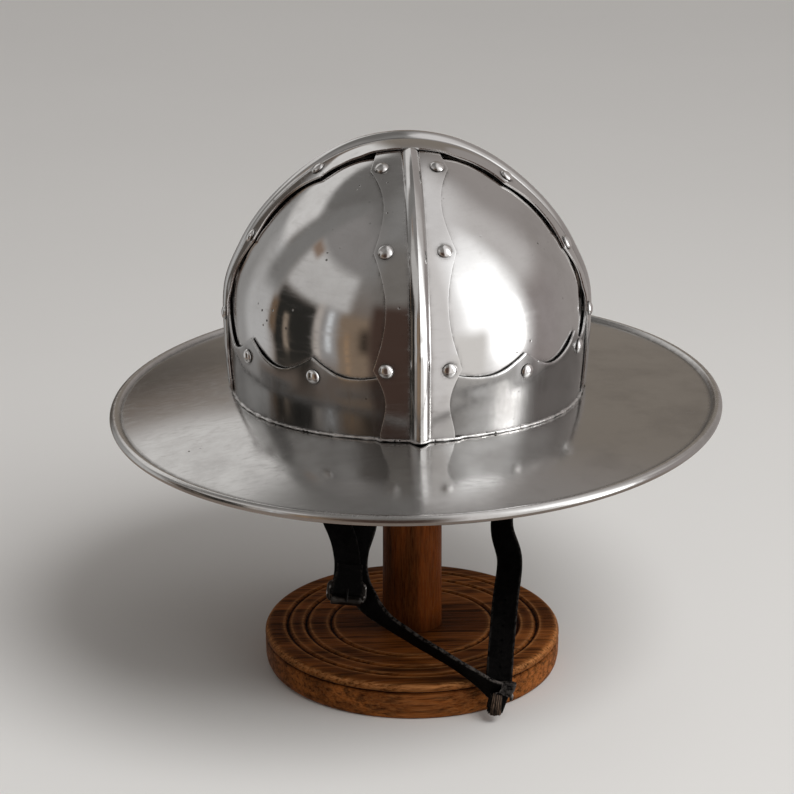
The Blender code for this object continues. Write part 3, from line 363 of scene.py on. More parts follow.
def makeLeather(name):
    look = leatherLooks[name]
    material, tree, shader, place = newMaterial(name)
    cells = cellsAt(tree, place, look["grain"])
    cloud = noiseAt(tree, place, 60.0, 4.0, 0.6)
    speck = noiseAt(tree, place, 420.0, 3.0, 0.7, look["run"])
    mottle = multiply(tree, calculate(tree, "ADD", cloud, speck), 0.5)
    colour = mixColour(tree, rangeOf(tree, mottle, 0.4, 0.62), look["deep"], look["high"])
    # towards the wear colour: rubbing, and a painted highlight on the raw ribs and the crossing strap's
    # edges
    colour = mixColour(tree, speckled(tree, "wearAndHighlight", speck, 0.38, 0.62), colour, look["wearAndHighlight"])
    height = calculate(tree, "MULTIPLY_ADD", speck, 0.5, cells)
    feed(tree, shader, {"Base Color": colour, "Specular IOR Level": look["shine"],
                        "Roughness": rangeOf(tree, cloud, 0.3, 0.7, look["smooth"], look["rough"]),
                        "Normal": bumpOn(tree, height, look["depth"])})
    return material


blackMetalLook = {"deep": (0.02, 0.017, 0.015), "high": (0.055, 0.048, 0.043),
                  "shaded": (0.002, 0.002, 0.002),
                  "wearAndHighlight": (0.62, 0.6, 0.58), "smooth": 0.28, "rough": 0.55, "depth": 0.0002}


def makeBlackMetal():
    look = blackMetalLook
    material, tree, shader, place = newMaterial("blackMetal")
    cloud = noiseAt(tree, place, 240.0, 4.0, 0.6)
    wearAndHighlight = speckled(tree, "wearAndHighlight", cloud, 0.45, 0.62)
    colour = mixColour(tree, rangeOf(tree, cloud, 0.4, 0.7), look["deep"], look["high"])
    # towards shaded: painted shade; towards the wear colour: rubbing, and a painted highlight on the stud
    colour = mixColour(tree, attributeAt(tree, "seam"), colour, look["shaded"])
    feed(tree, shader, {"Base Color": mixColour(tree, wearAndHighlight, colour, look["wearAndHighlight"]), "Metallic": 0.85,
                        "Roughness": rangeOf(tree, cloud, 0.3, 0.7, look["smooth"], look["rough"]),
                        "Normal": bumpOn(tree, cloud, look["depth"])})
    return material


woodLooks = {
    "baseWood": {
        "dark": (0.012, 0.003, 0.0007), "middle": (0.112, 0.031, 0.0062), "light": (0.3, 0.093, 0.02),
        "lit": (0.72, 0.32, 0.115), "stretch": (0.3, 7.0, 7.0), "smooth": 0.34, "rough": 0.52,
        "dashes": 0.8,
    },
    "postWood": {
        "dark": (0.008, 0.0016, 0.0003), "middle": (0.04, 0.0085, 0.0012), "light": (0.16, 0.037, 0.0066),
        "lit": (0.34, 0.13, 0.04), "stretch": (9.0, 9.0, 0.8), "smooth": 0.28, "rough": 0.46,
        "dashes": 0.45,
    },
}


def makeWood(name):
    look = woodLooks[name]
    material, tree, shader, place = newMaterial(name)
    broad = noiseAt(tree, place, 9.0, 4.0, 0.6, look["stretch"])
    streak = noiseAt(tree, place, 52.0, 4.0, 0.62, look["stretch"])
    pores = noiseAt(tree, place, 190.0, 3.0, 0.6, look["stretch"])
    fleck = noiseAt(tree, place, 130.0, 4.0, 0.7, look["stretch"])
    dashes = multiply(tree, rangeOf(tree, streak, 0.56, 0.36), look["dashes"])
    grain = rangeOf(tree, pores, 0.53, 0.66)
    marksAndPaintedLight = multiply(tree, speckled(tree, "wearAndHighlight", fleck, 0.3, 0.66), 0.75)
    shaded = tuple(0.15 * c for c in look["dark"])
    colour = mixColour(tree, rangeOf(tree, broad, 0.36, 0.66), look["middle"], look["light"])
    colour = mixColour(tree, dashes, colour, look["dark"])
    colour = mixColour(tree, multiply(tree, grain, 0.6 * look["dashes"]), colour, look["dark"])
    # towards lit: rubbing and a painted highlight; towards shaded: painted shade at the seams
    colour = mixColour(tree, marksAndPaintedLight, colour, look["lit"])
    colour = mixColour(tree, attributeAt(tree, "seam"), colour, shaded)
    height = calculate(tree, "SUBTRACT", multiply(tree, streak, 0.6), grain)
    feed(tree, shader, {"Base Color": colour, "Specular IOR Level": 0.02,
                        "Roughness": rangeOf(tree, streak, 0.3, 0.7, look["rough"], look["smooth"]),
                        "Normal": bumpOn(tree, height, 0.00022)})
    return material


materials = {"blackMetal": makeBlackMetal()}
for looks, makeLook in ((steelLooks, makeSteel), (leatherLooks, makeLeather), (woodLooks, makeWood)):
    materials.update({name: makeLook(name) for name in looks})
print("materials ready")


# tools for the pieces

smoothAngle = math.radians(35)  # sharper edges than this stay sharp


def deselectAll():
    bpy.ops.object.select_all(action="DESELECT")


def pick(piece):
    deselectAll()
    piece.select_set(True)
    bpy.context.view_layer.objects.active = piece


def editAll(piece):
    pick(piece)
    bpy.ops.object.mode_set(mode="EDIT")
    bpy.ops.mesh.select_all(action="SELECT")


def objectMode():
    bpy.ops.object.mode_set(mode="OBJECT")


def mendMesh(piece, merge=0.0, outward=True):
    editAll(piece)
    if merge:
        bpy.ops.mesh.remove_doubles(threshold=merge)
    if outward:
        bpy.ops.mesh.normals_make_consistent(inside=False)
    objectMode()


def applyModifier(piece, kind, **values):
    made = piece.modifiers.new(kind.lower(), kind)
    for key, value in values.items():
        setattr(made, key, value)
    pick(piece)
    bpy.ops.object.modifier_apply(modifier=made.name)


# a sheet gets its thickness, to one side (-1) or to both (0), and rounded edges
def giveWall(piece, thickness, offset=0, bevel=0.0, segments=3, angle=60, even=True):
    applyModifier(piece, "SOLIDIFY", thickness=thickness, offset=offset, use_even_offset=even)
    if bevel:
        applyModifier(piece, "BEVEL", width=bevel, segments=segments, limit_method="ANGLE",
                      angle_limit=math.radians(angle))


def finishPiece(piece, material, replaced):
    pick(piece)
    bpy.ops.object.shade_smooth_by_angle(angle=smoothAngle)
    piece.data.materials.clear()
    piece.data.materials.append(materials[material])
    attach(piece, "root")
    if replaced:
        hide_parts(*replaced)


# a number painted on every point, which the materials read: seam darkens, with grime and painted shade;
# edge brightens as a painted highlight, and wear brightens with rubbing and painted highlights
def paintList(piece, name, shares):
    layer = piece.data.attributes.new(name, "FLOAT", "POINT")
    layer.data.foreach_set("value", shares)


def paint(piece, name, shareAt):
    paintList(piece, name, [shareAt(vert.co) for vert in piece.data.vertices])


def paintGrid(piece, name, columns, shareAt):
    count = columns + 1
    paintList(piece, name, [shareAt(k % count, k // count) for k in range(len(piece.data.vertices))])


# 0 in the middle of a grid, 1 at its left and right edges
def edgeShare(column, columns):
    return abs(2 * column / columns - 1)


def gridSheet(name, columns, rows, placeAt, closed=False):
    deselectAll()
    bpy.ops.mesh.primitive_grid_add(x_subdivisions=columns, y_subdivisions=rows, size=1)
    piece = bpy.context.object
    piece.name = name
    for vert in piece.data.vertices:
        vert.co = placeAt(round((vert.co.x + 0.5) * columns), round((vert.co.y + 0.5) * rows))
    mendMesh(piece, 1e-6 if closed else 0.0, outward=False)
    return piece


def faceAway(piece, middle):
    outward = sum(face.area * face.normal.dot(face.center - middle) for face in piece.data.polygons)
    if outward < 0:
        editAll(piece)
        bpy.ops.mesh.flip_normals()
        objectMode()


# an outline of (radius, height) pairs is drawn out ring by ring; poleRadius at an end closes it there,
# and a joined outline ends where it starts
poleRadius = 0.0002


def closePole(piece, middle, level):
    editAll(piece)
    bpy.context.tool_settings.mesh_select_mode = (True, False, False)
    bpy.ops.mesh.select_all(action="DESELECT")
    objectMode()
    for vert in piece.data.vertices:
        away = math.hypot(vert.co.x - middle.x, vert.co.y - middle.y)
        vert.select = abs(vert.co.z - level) < 1e-5 and away < 1.05 * poleRadius
    bpy.ops.object.mode_set(mode="EDIT")
    bpy.ops.mesh.merge(type="CENTER")
    objectMode()


def turnedPiece(name, outline, sides, middle=Vector((0, 0, 0)), joined=False):
    deselectAll()
    first, last = outline[0], outline[-1]
    bpy.ops.mesh.primitive_circle_add(vertices=sides, radius=first[0],
                                      location=(middle.x, middle.y, middle.z + first[1]))
    piece = bpy.context.object
    piece.name = name
    bpy.ops.object.transform_apply(location=True, rotation=True, scale=True)
    editAll(piece)
    for before, after in zip(outline, outline[1:]):
        bpy.ops.mesh.extrude_region_move(TRANSFORM_OT_translate={"value": (0, 0, after[1] - before[1])})
        size = after[0] / before[0]
        centre = (middle.x, middle.y, middle.z + after[1])
        bpy.ops.transform.resize(value=(size, size, 1), center_override=centre)
    objectMode()
    if not joined:
        closePole(piece, middle, middle.z + first[1])
        closePole(piece, middle, middle.z + last[1])
    mendMesh(piece, 1e-5 if joined else 0.0)
    return piece


# angles of a quarter turn in equal steps
def quarterTurn(count, first=0):
    return [math.pi / 2 * k / count for k in range(first, count + 1)]


def ease(low, high, value):
    t = min(1, max(0, (value - low) / (high - low)))
    return t * t * (3 - 2 * t)


# 1 where the distance is nothing or less, falling away with it
def fade(away, reach):
    return math.exp(-max(0.0, away) / reach)


def roughNumber(co, scale, seed):
    return noise.noise(co * scale + Vector((seed, seed * 1.7, seed * 2.3)))


# skull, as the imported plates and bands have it

skull = {
    "halfWidth": 0.104, "halfLength": 0.111, "height": 0.1, "shoulder": 0.026, "level": 0.2277,
    "x": -0.005,
    "taper": 0.023, "taperDepth": 0.05, "keelAngle": math.radians(14),
    "sheet": 0.0012, "layerGap": 0.00045, "jointLevel": 0.179, "jointRise": 0.006,
}
skullMiddle = Vector((skull["x"], 0, skull["level"]))
up = Vector((0, 0, 1))


def keel(direction):
    angle = math.atan2(abs(direction.x), abs(direction.y))
    return math.exp(-((angle / skull["keelAngle"]) ** 2))


def wallPoint(direction, level, lift):
    depth = (skull["level"] - level) / skull["taperDepth"]
    taper = 1 - skull["taper"] * depth * depth * (1 - keel(direction))
    oval = math.hypot(direction.x / skull["halfWidth"], direction.y / skull["halfLength"])
    radius = taper / oval + lift
    return Vector((skull["x"] + radius * direction.x, radius * direction.y, level))


def domePoint(direction, lift):
    size = Vector((direction.x / skull["halfWidth"], direction.y / skull["halfLength"],
                   direction.z / skull["height"]))
    rise = size.z / size.length
    shoulder = 1 - skull["shoulder"] * 4 * rise * rise * (1 - rise * rise)
    return skullMiddle + (shoulder / size.length + lift) * direction


def jointLevel(direction):
    return skull["jointLevel"] + skull["jointRise"] * direction.y ** 2


# how high a point lies over the joint of crown and brim
def overJoint(co):
    return co.z - jointLevel((co - skullMiddle).normalized())


def azimuthDirection(degrees):
    angle = math.radians(degrees)
    return Vector((math.sin(angle), -math.cos(angle), 0))


# edges of the bands: distance above the widest level, half width there, and whether it is a cusp;
# edge of the brow: degrees from the front, height over the widest level, cusp
bandSettings = {
    "radius": 0.105, "wide": 0.0229, "narrow": 0.0165, "shift": -0.0012, "ridgeHalf": 0.0054,
    "ridgeHeight": 0.0043, "ridgeRound": 0.004, "sideRidgeTop": 0.0026, "sideRidgeEar": 0.0016,
    "backFade": (0.085, 0.125), "skew": math.radians(4), "edgeGap": 0.0011, "curlShare": 0.5,
    "step": 0.0014, "footStart": -0.03, "bevel": 0.00035,
}
bandTop = bandSettings["radius"] * math.pi / 2
wide = bandSettings["wide"]
narrow = bandSettings["narrow"]
longFoot = [(-0.042, 0.0195, False), (-0.022, narrow, False), (-0.0018, wide, True)]
earFoot = [(-0.048, 0.0185, False), (-0.022, narrow, False)]
frontEdge = longFoot + [
    (0.0305, narrow, False), (0.0627, wide, True), (0.094, narrow, False), (0.1255, wide, True),
    (0.1649, narrow, False)]
backEdge = longFoot + [
    (0.0235, narrow, False), (0.049, wide, True), (0.0745, narrow, False), (0.1, wide, True),
    (0.1649, narrow, False)]
rightEdge = earFoot + [
    (0.0043, 0.0235, True), (0.0245, 0.018, False), (0.0465, 0.0242, True), (0.075, 0.0195, False),
    (0.1015, 0.0238, True), (0.126, 0.02, False), (0.1649, 0.0212, False)]
leftEdge = earFoot + [
    (0.001, wide, True), (0.026, 0.0183, False), (0.0505, 0.024, True), (0.084, 0.018, False),
    (0.109, 0.0252, True), (0.134, 0.0212, False), (0.1649, 0.0212, False)]
plainEdge = earFoot + [(0.0028, 0.0222, True), (0.03, 0.0195, False), (0.1649, 0.0185, False)]
browOutline = [
    (0, 0.002, True), (20, -0.0086, False), (33.5, 0.0005, True), (46, -0.0108, False),
    (61, -0.0003, True), (68, -0.008, False), (77, 0.01, True), (95, 0.01, True),
    (107, -0.011, False), (119, -0.0003, True), (134, -0.0108, False), (146.5, 0.0005, True),
    (160, -0.0086, False), (180, 0.002, True), (200, -0.0086, False), (213.5, 0.0005, True),
    (226, -0.0108, False), (241, -0.0003, True), (249, -0.008, False), (257, 0.01, True),
    (275, 0.01, True), (287, -0.0123, False), (300.3, -0.0003, True), (314, -0.0108, False),
    (327.6, 0.0005, True), (340, -0.0086, False), (360, 0.002, True)]


# each edge is named by its end, a or b, and its side, l or r; station counts up from the widest level
skew = bandSettings["skew"]
bands = {
    "front": {"edges": {"al": frontEdge, "ar": frontEdge, "bl": backEdge, "br": backEdge},
              "overBrow": (0.0045, 0.0145), "overTop": False, "ridgeEnd": 0.142,
              "shift": bandSettings["shift"], "along": Vector((0, -1, 0)), "across": Vector((1, 0, 0))},
    "side": {"edges": {"al": plainEdge, "ar": rightEdge, "bl": plainEdge, "br": leftEdge},
             "overBrow": (0.0125, 0.0405), "overTop": True, "ridgeEnd": None,
             "shift": 0.0, "along": Vector((math.cos(skew), -math.sin(skew), 0)),
             "across": Vector((-math.sin(skew), -math.cos(skew), 0))},
}


def scallop(rows, value):
    for (start, low, startCusp), (end, high, endCusp) in zip(rows, rows[1:]):
        if start <= value <= end:
            t = (value - start) / (end - start)
            if startCusp and endCusp:
                share = t
            elif startCusp:
                share = math.sin(math.pi / 2 * t)
            elif endCusp:
                share = 1 - math.sin(math.pi / 2 * (1 - t))
            else:
                share = ease(0, 1, t)
            return low + share * (high - low)
    return rows[-1][1] if value > rows[-1][0] else rows[0][1]


def spread(stops, step):
    values = [stops[0]]
    for first, second in zip(stops, stops[1:]):
        count = max(1, math.ceil((second - first) / step - 1e-6))
        values += [first + (second - first) * (k + 1) / count for k in range(count)]
    return values


def bandPoint(along, across, station, offset, lift):
    sweep = offset / bandSettings["radius"]
    if station < 0:
        direction = math.cos(sweep) * along + math.sin(sweep) * across
        return wallPoint(direction, skull["level"] + station, lift)
    rise = station / bandSettings["radius"]
    forward = math.cos(rise) * along + math.sin(rise) * up
    return domePoint(math.cos(sweep) * forward + math.sin(sweep) * across, lift)


def bandPlace(band, station, offset, lift):
    if station > bandTop:
        return bandPoint(-band["along"], band["across"], 2 * bandTop - station, offset, lift)
    return bandPoint(band["along"], band["across"], station, offset, lift)


# where a point of the skull lies on a band: end, station and distance across
def bandCoordinates(band, co):
    away = co - skullMiddle
    across = away.dot(band["across"])
    along = away.dot(band["along"])
    end = "a" if along >= 0 else "b"
    if away.z < 0:
        return end, away.z, bandSettings["radius"] * math.atan2(across, abs(along))
    station = bandSettings["radius"] * math.atan2(away.z, abs(along))
    return end, station, bandSettings["radius"] * math.asin(max(-1.0, min(1.0, across / away.length)))


def halfWidthAt(band, end, station, offset):
    side = "l" if offset < band["shift"] else "r"
    return scallop(band["edges"][end + side], station)


def bandLift(band, station):
    low = skull["layerGap"] + skull["sheet"]
    share = 1 - ease(*band["overBrow"], station)
    if band["overTop"]:
        share = max(share, ease(bandTop - 0.085, bandTop - 0.026, station))
    return low + low * share


# what the gap under the side band's front edge still needs, away from its rivets
def openGap(co, station):
    band = bands["side"]
    missing = bandSettings["edgeGap"] - (bandLift(band, station) - skull["sheet"])
    away = min((co - tip).length for _, tip, _, _ in rivetPlaces)
    if missing < 0:
        missing *= ease(0.001, 0.012, edgeDistance(bands["front"], co))
    return missing * ease(0.0075, 0.0165, away)


def browTop(degrees):
    return skull["level"] + scallop(browOutline, degrees % 360)


def degreesAt(co):
    return math.degrees(math.atan2(co.x - skull["x"], -co.y)) % 360


# how far a point lies outside a band's edge, and above the brow band's edge
def edgeDistance(band, co):
    end, station, offset = bandCoordinates(band, co)
    return abs(offset - band["shift"]) - halfWidthAt(band, end, station, offset)


def browDistance(co):
    return co.z - browTop(degreesAt(co))


# each rivet's name, tip, axis and length
rivetPlaces = []
for name, node in nodes.items():
    if name.startswith("rivet_"):
        low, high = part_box(name)
        outward = ((low + high) / 2 - skullMiddle).normalized()
        tip = max((vert.co for vert in node.data.vertices), key=lambda co: co.dot(outward))
        burr = min((vert.co for vert in node.data.vertices), key=lambda co: co.dot(outward))
        rivetPlaces.append((name, tip.copy(), (tip - burr).normalized(), (tip - burr).length))


def nearRivet(co, reach):
    return max(fade((co - tip).length - 0.0048, reach) for _, tip, _, _ in rivetPlaces)


# darkening at the joint, round the rivets and beside what lies over a sheet: patina, and painted shade in
# these gaps
def sheetSeams(co, front, side):
    shares = [0.85 * fade(overJoint(co), 0.0016), 0.7 * nearRivet(co, 0.0007)]
    for band, (share, reach) in (("front", front), ("side", side)):
        if share:
            shares.append(share * fade(edgeDistance(bands[band], co), reach))
    return max(shares)


# quarter plates

plateSettings = {"foot": 0.1965, "seam": math.radians(1.0), "top": math.radians(84), "columns": 84,
                 "wallRows": 20, "domeRows": 84}


def plateDip(co):
    band = bands["side"]
    end, station, offset = bandCoordinates(band, co)
    if offset <= 0 or station < 0:
        return 0.0
    beside = 1 - ease(0.0, 0.01, edgeDistance(band, co))
    beside *= ease(0.0, 0.01, offset)
    beside *= ease(0.0, 0.01, station)
    return (1 - bandSettings["curlShare"]) * max(0.0, openGap(co, station)) * beside


def makePlate(name, quarter):
    look = plateSettings
    start = -math.pi / 2 + quarter * math.pi / 2 + look["seam"]
    sweep = math.pi / 2 - 2 * look["seam"]
    rise = skull["level"] - look["foot"]
    wallRows = look["wallRows"]

    def placeAt(column, row):
        azimuth = start + sweep * column / look["columns"]
        level = Vector((math.cos(azimuth), math.sin(azimuth), 0))
        if row < wallRows:
            point = wallPoint(level, look["foot"] + rise * row / wallRows, 0)
        else:
            turn = look["top"] * (row - wallRows) / look["domeRows"]
            point = domePoint(math.cos(turn) * level + math.sin(turn) * up, 0)
        return point - plateDip(point) * (point - skullMiddle).normalized()

    piece = gridSheet(name + "_fine", look["columns"], wallRows + look["domeRows"], placeAt)
    faceAway(piece, skullMiddle)
    giveWall(piece, skull["sheet"], offset=-1)
    # seam: painted shade in the gaps under the bands' and the brow's edges, with patina
    paint(piece, "seam", lambda co: 0.8 * max(
        fade(edgeDistance(bands["side"], co), 0.0006),
        0.8 * fade(edgeDistance(bands["front"], co), 0.0007),
        fade(browDistance(co), 0.0008)))
    finishPiece(piece, "polishedSteel", [name])


for quarter, side in enumerate(("front_right", "back_right", "back_left", "front_left")):
    makePlate("plate_" + side, quarter)
print("plates ready")


# brow band, which stands off a little between its rivets

browSettings = {"step": 0.5, "rows": 26, "footGap": 0.0006, "bevel": 0.00035, "standOff": 0.0006,
                "standDegrees": (3, 9), "standRows": (0.6, 1.0)}
browLift = skull["layerGap"] + skull["sheet"]


def makeBrow():
    look = browSettings
    stops = spread([row[0] for row in browOutline], look["step"])
    rivetDegrees = [degreesAt(tip) for name, tip, _, _ in rivetPlaces if name.startswith("rivet_brow")]

    def placeAt(column, row):
        degrees = stops[column]
        direction = azimuthDirection(degrees)
        low = jointLevel(direction) + look["footGap"]
        level = low + (browTop(degrees) - low) * row / look["rows"]
        away = min(abs((degrees - rivet + 180) % 360 - 180) for rivet in rivetDegrees)
        stand = ease(*look["standDegrees"], away) * ease(*look["standRows"], row / look["rows"])
        lift = browLift + look["standOff"] * stand
        if level <= skull["level"]:
            return wallPoint(direction, level, lift)
        rise = math.asin((level - skull["level"]) / skull["height"])
        return domePoint(math.cos(rise) * direction + math.sin(rise) * up, lift)

    piece = gridSheet("brow_band_fine", len(stops) - 1, look["rows"], placeAt, closed=True)
    faceAway(piece, skullMiddle)
    giveWall(piece, skull["sheet"], offset=-1, bevel=look["bevel"], segments=2, angle=50)
    # seam: patina and painted shade at the joint, round the rivets and beside the bands; edge: a painted
    # highlight along the scalloped edge
    paint(piece, "seam", lambda co: sheetSeams(co, (0.6, 0.0008), (0.7, 0.0012)))
    paint(piece, "edge", lambda co: fade(abs(browDistance(co)), 0.0005))
    finishPiece(piece, "browSteel", ["brow_band"])


makeBrow()
print("brow band ready")


# crossed bands: across, a flat, the ridge and a flat again, as shares of their widths from the
# edge inwards

flatShares = [1.0, 0.985, 0.96, 0.92] + [0.92 - 0.09 * k for k in range(1, 10)] + [0.045, 0.012]
ridgeShares = [1.0, 0.94, 0.86, 0.76, 0.64, 0.52, 0.4, 0.28, 0.17, 0.09, 0.04]
bandProfile = [("flat", -share) for share in flatShares] + [("ridge", -share) for share in ridgeShares]
bandProfile += [("ridge", 0.0)] + [(kind, -share) for kind, share in reversed(bandProfile)]


def ridgeShape(share):
    t = abs(share)
    return 1 - 0.5 * t - 0.5 * t ** 2.8


def ridgeHeight(band, end, station):
    if band["overTop"]:
        ear = bandSettings["sideRidgeEar"]
        return ear + (bandSettings["sideRidgeTop"] - ear) * ease(0.0, 0.11, station)
    if end == "b":
        return bandSettings["ridgeHeight"] * (1 - ease(*bandSettings["backFade"], station))
    rounded = min(1, max(0, (band["ridgeEnd"] - station) / bandSettings["ridgeRound"]))
    return bandSettings["ridgeHeight"] * math.sqrt(1 - (1 - rounded) ** 2)


def bandStations(band, end):
    stops = sorted({row[0] for side in "lr" for row in band["edges"][end + side]})
    stops[-1] = bandTop
    if band["ridgeEnd"] and end == "a":
        closer = [band["ridgeEnd"] - back for back in (0.004, 0.003, 0.002, 0.001, 0.0004, 0)]
        stops = sorted(stops + closer)
    return spread(stops, bandSettings["step"])


def makeBand(name, band):
    ridgeHalf = bandSettings["ridgeHalf"]
    footStart = bandSettings["footStart"]
    stations = bandStations(band, "a")
    stations += [2 * bandTop - station for station in reversed(bandStations(band, "b")[:-1])]

    def placeAt(column, row):
        station = stations[row]
        end = "a" if station <= bandTop else "b"
        near = min(station, 2 * bandTop - station)
        lift = bandLift(band, near)
        kind, share = bandProfile[column]
        if kind == "ridge":
            offset = share * ridgeHalf
            lift += ridgeHeight(band, end, near) * ridgeShape(share)
        else:
            side = math.copysign(1, share)
            inner = side * ridgeHalf
            halfWidth = halfWidthAt(band, end, near, side)
            offset = inner + abs(share) * (side * halfWidth + band["shift"] - inner)
            if band["overTop"] and side > 0 and near > 0:
                free = openGap(bandPlace(band, station, offset, lift), near) * ease(0.0, 0.01, near)
                curl = bandSettings["curlShare"] if free > 0 else 1.0
                lift += curl * free * ease(0.35, 1.0, abs(share))
        if near < footStart:
            # the foot is stretched to end at the joint, which isn't level
            sweep = offset / bandSettings["radius"]
            direction = math.cos(sweep) * band["along"] + math.sin(sweep) * band["across"]
            foot = jointLevel(direction) + browSettings["footGap"] - skull["level"]
            last = stations[0]
            shifted = foot + (footStart - foot) * (near - last) / (footStart - last)
            station = shifted if station < bandTop else 2 * bandTop - shifted
        return bandPlace(band, station, offset, lift)

    piece = gridSheet(name + "_fine", len(bandProfile) - 1, len(stations) - 1, placeAt)
    faceAway(piece, skullMiddle)
    giveWall(piece, skull["sheet"], offset=-1, bevel=bandSettings["bevel"], segments=2)

    def ridgeAt(co):
        end, station, offset = bandCoordinates(band, co)
        return offset, ridgeHeight(band, end, station) / bandSettings["ridgeHeight"]

    # seam: painted shade at the ridge's feet, darker on the left than the right, and patina and painted
    # shade beside the side band and round the rivets
    def seamAt(co):
        offset, ridged = ridgeAt(co)
        foot = fade(abs(abs(offset) - ridgeHalf - 0.0003), 0.0005)
        shaded = 0.55 if offset < 0 else 0.3
        covered = (0, 0) if band["overTop"] else (0.8, 0.0014)
        return max(shaded * foot * ridged, sheetSeams(co, (0, 0), covered))

    # edge: a painted highlight along the edges, on the ridge's crest and on its right foot
    def edgeAt(co):
        offset, ridged = ridgeAt(co)
        crest = fade(abs(offset), 0.0004) * ridged
        lit = 0.45 * fade(abs(offset - ridgeHalf), 0.0005) * ridged
        return max(0.9 * fade(abs(edgeDistance(band, co)), 0.0004), 0.6 * crest, lit)

    paint(piece, "seam", seamAt)
    paint(piece, "edge", edgeAt)
    finishPiece(piece, "polishedSteel", [name])


makeBand("front_back_band", bands["front"])
makeBand("side_band", bands["side"])
print("bands ready")


# brim with its rolled edge, and the weld where it meets the crown

brimSettings = {"halfWidth": 0.1823, "halfLength": 0.1908, "level": 0.168, "roll": math.radians(1.55),
                "bead": 0.003, "collar": 0.006, "gap": 0.0003, "swell": 0.0006, "columns": 480}


def brimEdge(degrees):
    angle = math.radians(degrees)
    x = brimSettings["halfWidth"] * math.sin(angle)
    return Vector((x, -brimSettings["halfLength"] * math.cos(angle),
                   brimSettings["level"] + x * math.tan(brimSettings["roll"])))


# a closed outline: down the collar, out over the top, round the bead and back underneath
def brimSection(degrees):
    look = brimSettings
    direction = azimuthDirection(degrees)
    level = jointLevel(direction)
    gap, bead, sheet = look["gap"], look["bead"], skull["sheet"]
    top = wallPoint(direction, level, -gap)
    edge = brimEdge(degrees)
    away = Vector((edge.x - top.x, edge.y - top.y, 0)).normalized()
    centre = edge - bead * away
    start = top - gap * up
    groove = centre - 1.2 * bead * away + 0.35 * bead * up
    under = -sheet * up
    points = [wallPoint(direction, level + look["collar"] * share, -gap) for share in (1, 0.6, 0.25)]
    for k in range(37):
        t = k / 36
        points.append(start.lerp(groove, t) + look["swell"] * math.sin(math.pi * t) * up)
    for k in range(24):
        angle = math.radians(132 - 222 * k / 23)
        points.append(centre + bead * (math.cos(angle) * away + math.sin(angle) * up))
    points += [groove + 1.3 * under]
    points += [start.lerp(groove, t) + under for t in (0.9, 0.7, 0.5, 0.3, 0.1)]
    inside = [wallPoint(direction, level + rise, -gap - sheet) for rise in (-sheet, look["collar"])]
    return points + inside


def fromBrimEdge(co):
    look = brimSettings
    edge = brimEdge(math.degrees(math.atan2(co.x / look["halfWidth"], -co.y / look["halfLength"])))
    return math.hypot(edge.x, edge.y) - math.hypot(co.x, co.y)


def makeBrim():
    columns = brimSettings["columns"]
    bead = brimSettings["bead"]
    sections = [brimSection(360 * k / columns) for k in range(columns)]
    count = len(sections[0])
    piece = gridSheet("brim_fine", columns, count,
                      lambda column, row: sections[column % columns][row % count], closed=True)
    mendMesh(piece)

    # seam: patina and painted shade at the joint, and painted shade in the groove inside the bead
    def seamAt(co):
        joint = wallPoint(azimuthDirection(degreesAt(co)), skull["jointLevel"], 0)
        inner = math.hypot(co.x - skull["x"], co.y) - math.hypot(joint.x - skull["x"], joint.y)
        return max(0.85 * fade(inner, 0.0018), 0.7 * fade(abs(fromBrimEdge(co) - 2.15 * bead), 0.0006))

    paint(piece, "seam", seamAt)
    # edge: a painted highlight along the rolled bead
    paint(piece, "edge", lambda co: 0.55 * math.exp(-((fromBrimEdge(co) - 0.9 * bead) / 0.0012) ** 2))
    finishPiece(piece, "brushedSteel", ["brim"])


# the bead's size varies on two scales, and it climbs over the bands' feet and the ridge
weldSettings = {"around": 900, "sides": 8, "radius": 0.00082, "thinnest": 0.6, "broad": 0.5, "fine": 0.6,
                "bandRise": 0.0014, "crownHalf": 0.11}


def makeWeld():
    look = weldSettings
    ridgeHalf = bandSettings["ridgeHalf"]
    deselectAll()
    bpy.ops.mesh.primitive_torus_add(major_segments=look["around"], minor_segments=look["sides"],
                                     major_radius=1.0, minor_radius=0.25)
    piece = bpy.context.object
    piece.name = "joint_weld"
    for vert in piece.data.vertices:
        away = math.hypot(vert.co.x, vert.co.y)
        direction = azimuthDirection(math.degrees(math.atan2(vert.co.x, -vert.co.y)))
        spot = direction * 0.1
        vary = 1 + look["broad"] * roughNumber(spot, 260, 3) + look["fine"] * roughNumber(spot, 800, 5)
        size = look["radius"] * max(look["thinnest"], vary)
        across = abs(direction.x) * look["crownHalf"]
        ridge = bandSettings["ridgeHeight"] * ridgeShape(min(1, across / ridgeHalf))
        on = 0.9 if across < ridgeHalf else 0.0
        centre = wallPoint(direction, jointLevel(direction) + 0.0003, browLift + 0.0001)
        bandShare = 1 - ease(0.0215, 0.0235, abs(direction.x) * skull["halfLength"])
        centre += (look["bandRise"] * bandShare + ridge * on) * direction
        vert.co = centre + 4 * size * ((away - 1) * direction + vert.co.z * up)
    paint(piece, "seam", lambda co: 0.15 * ease(-0.1, 0.3, roughNumber(co, 420, 8)))
    finishPiece(piece, "weldSteel", [])


makeBrim()
makeWeld()
print("brim ready")


# rivets: one is turned a metre long, and every other is a copy of it, shortened to its own length

rivetSettings = {"head": 0.0042, "height": 0.0023, "shank": 0.0019, "burr": 0.0029, "burrHeight": 0.001,
                 "sides": 28, "dent": 0.00012, "squash": 0.06}


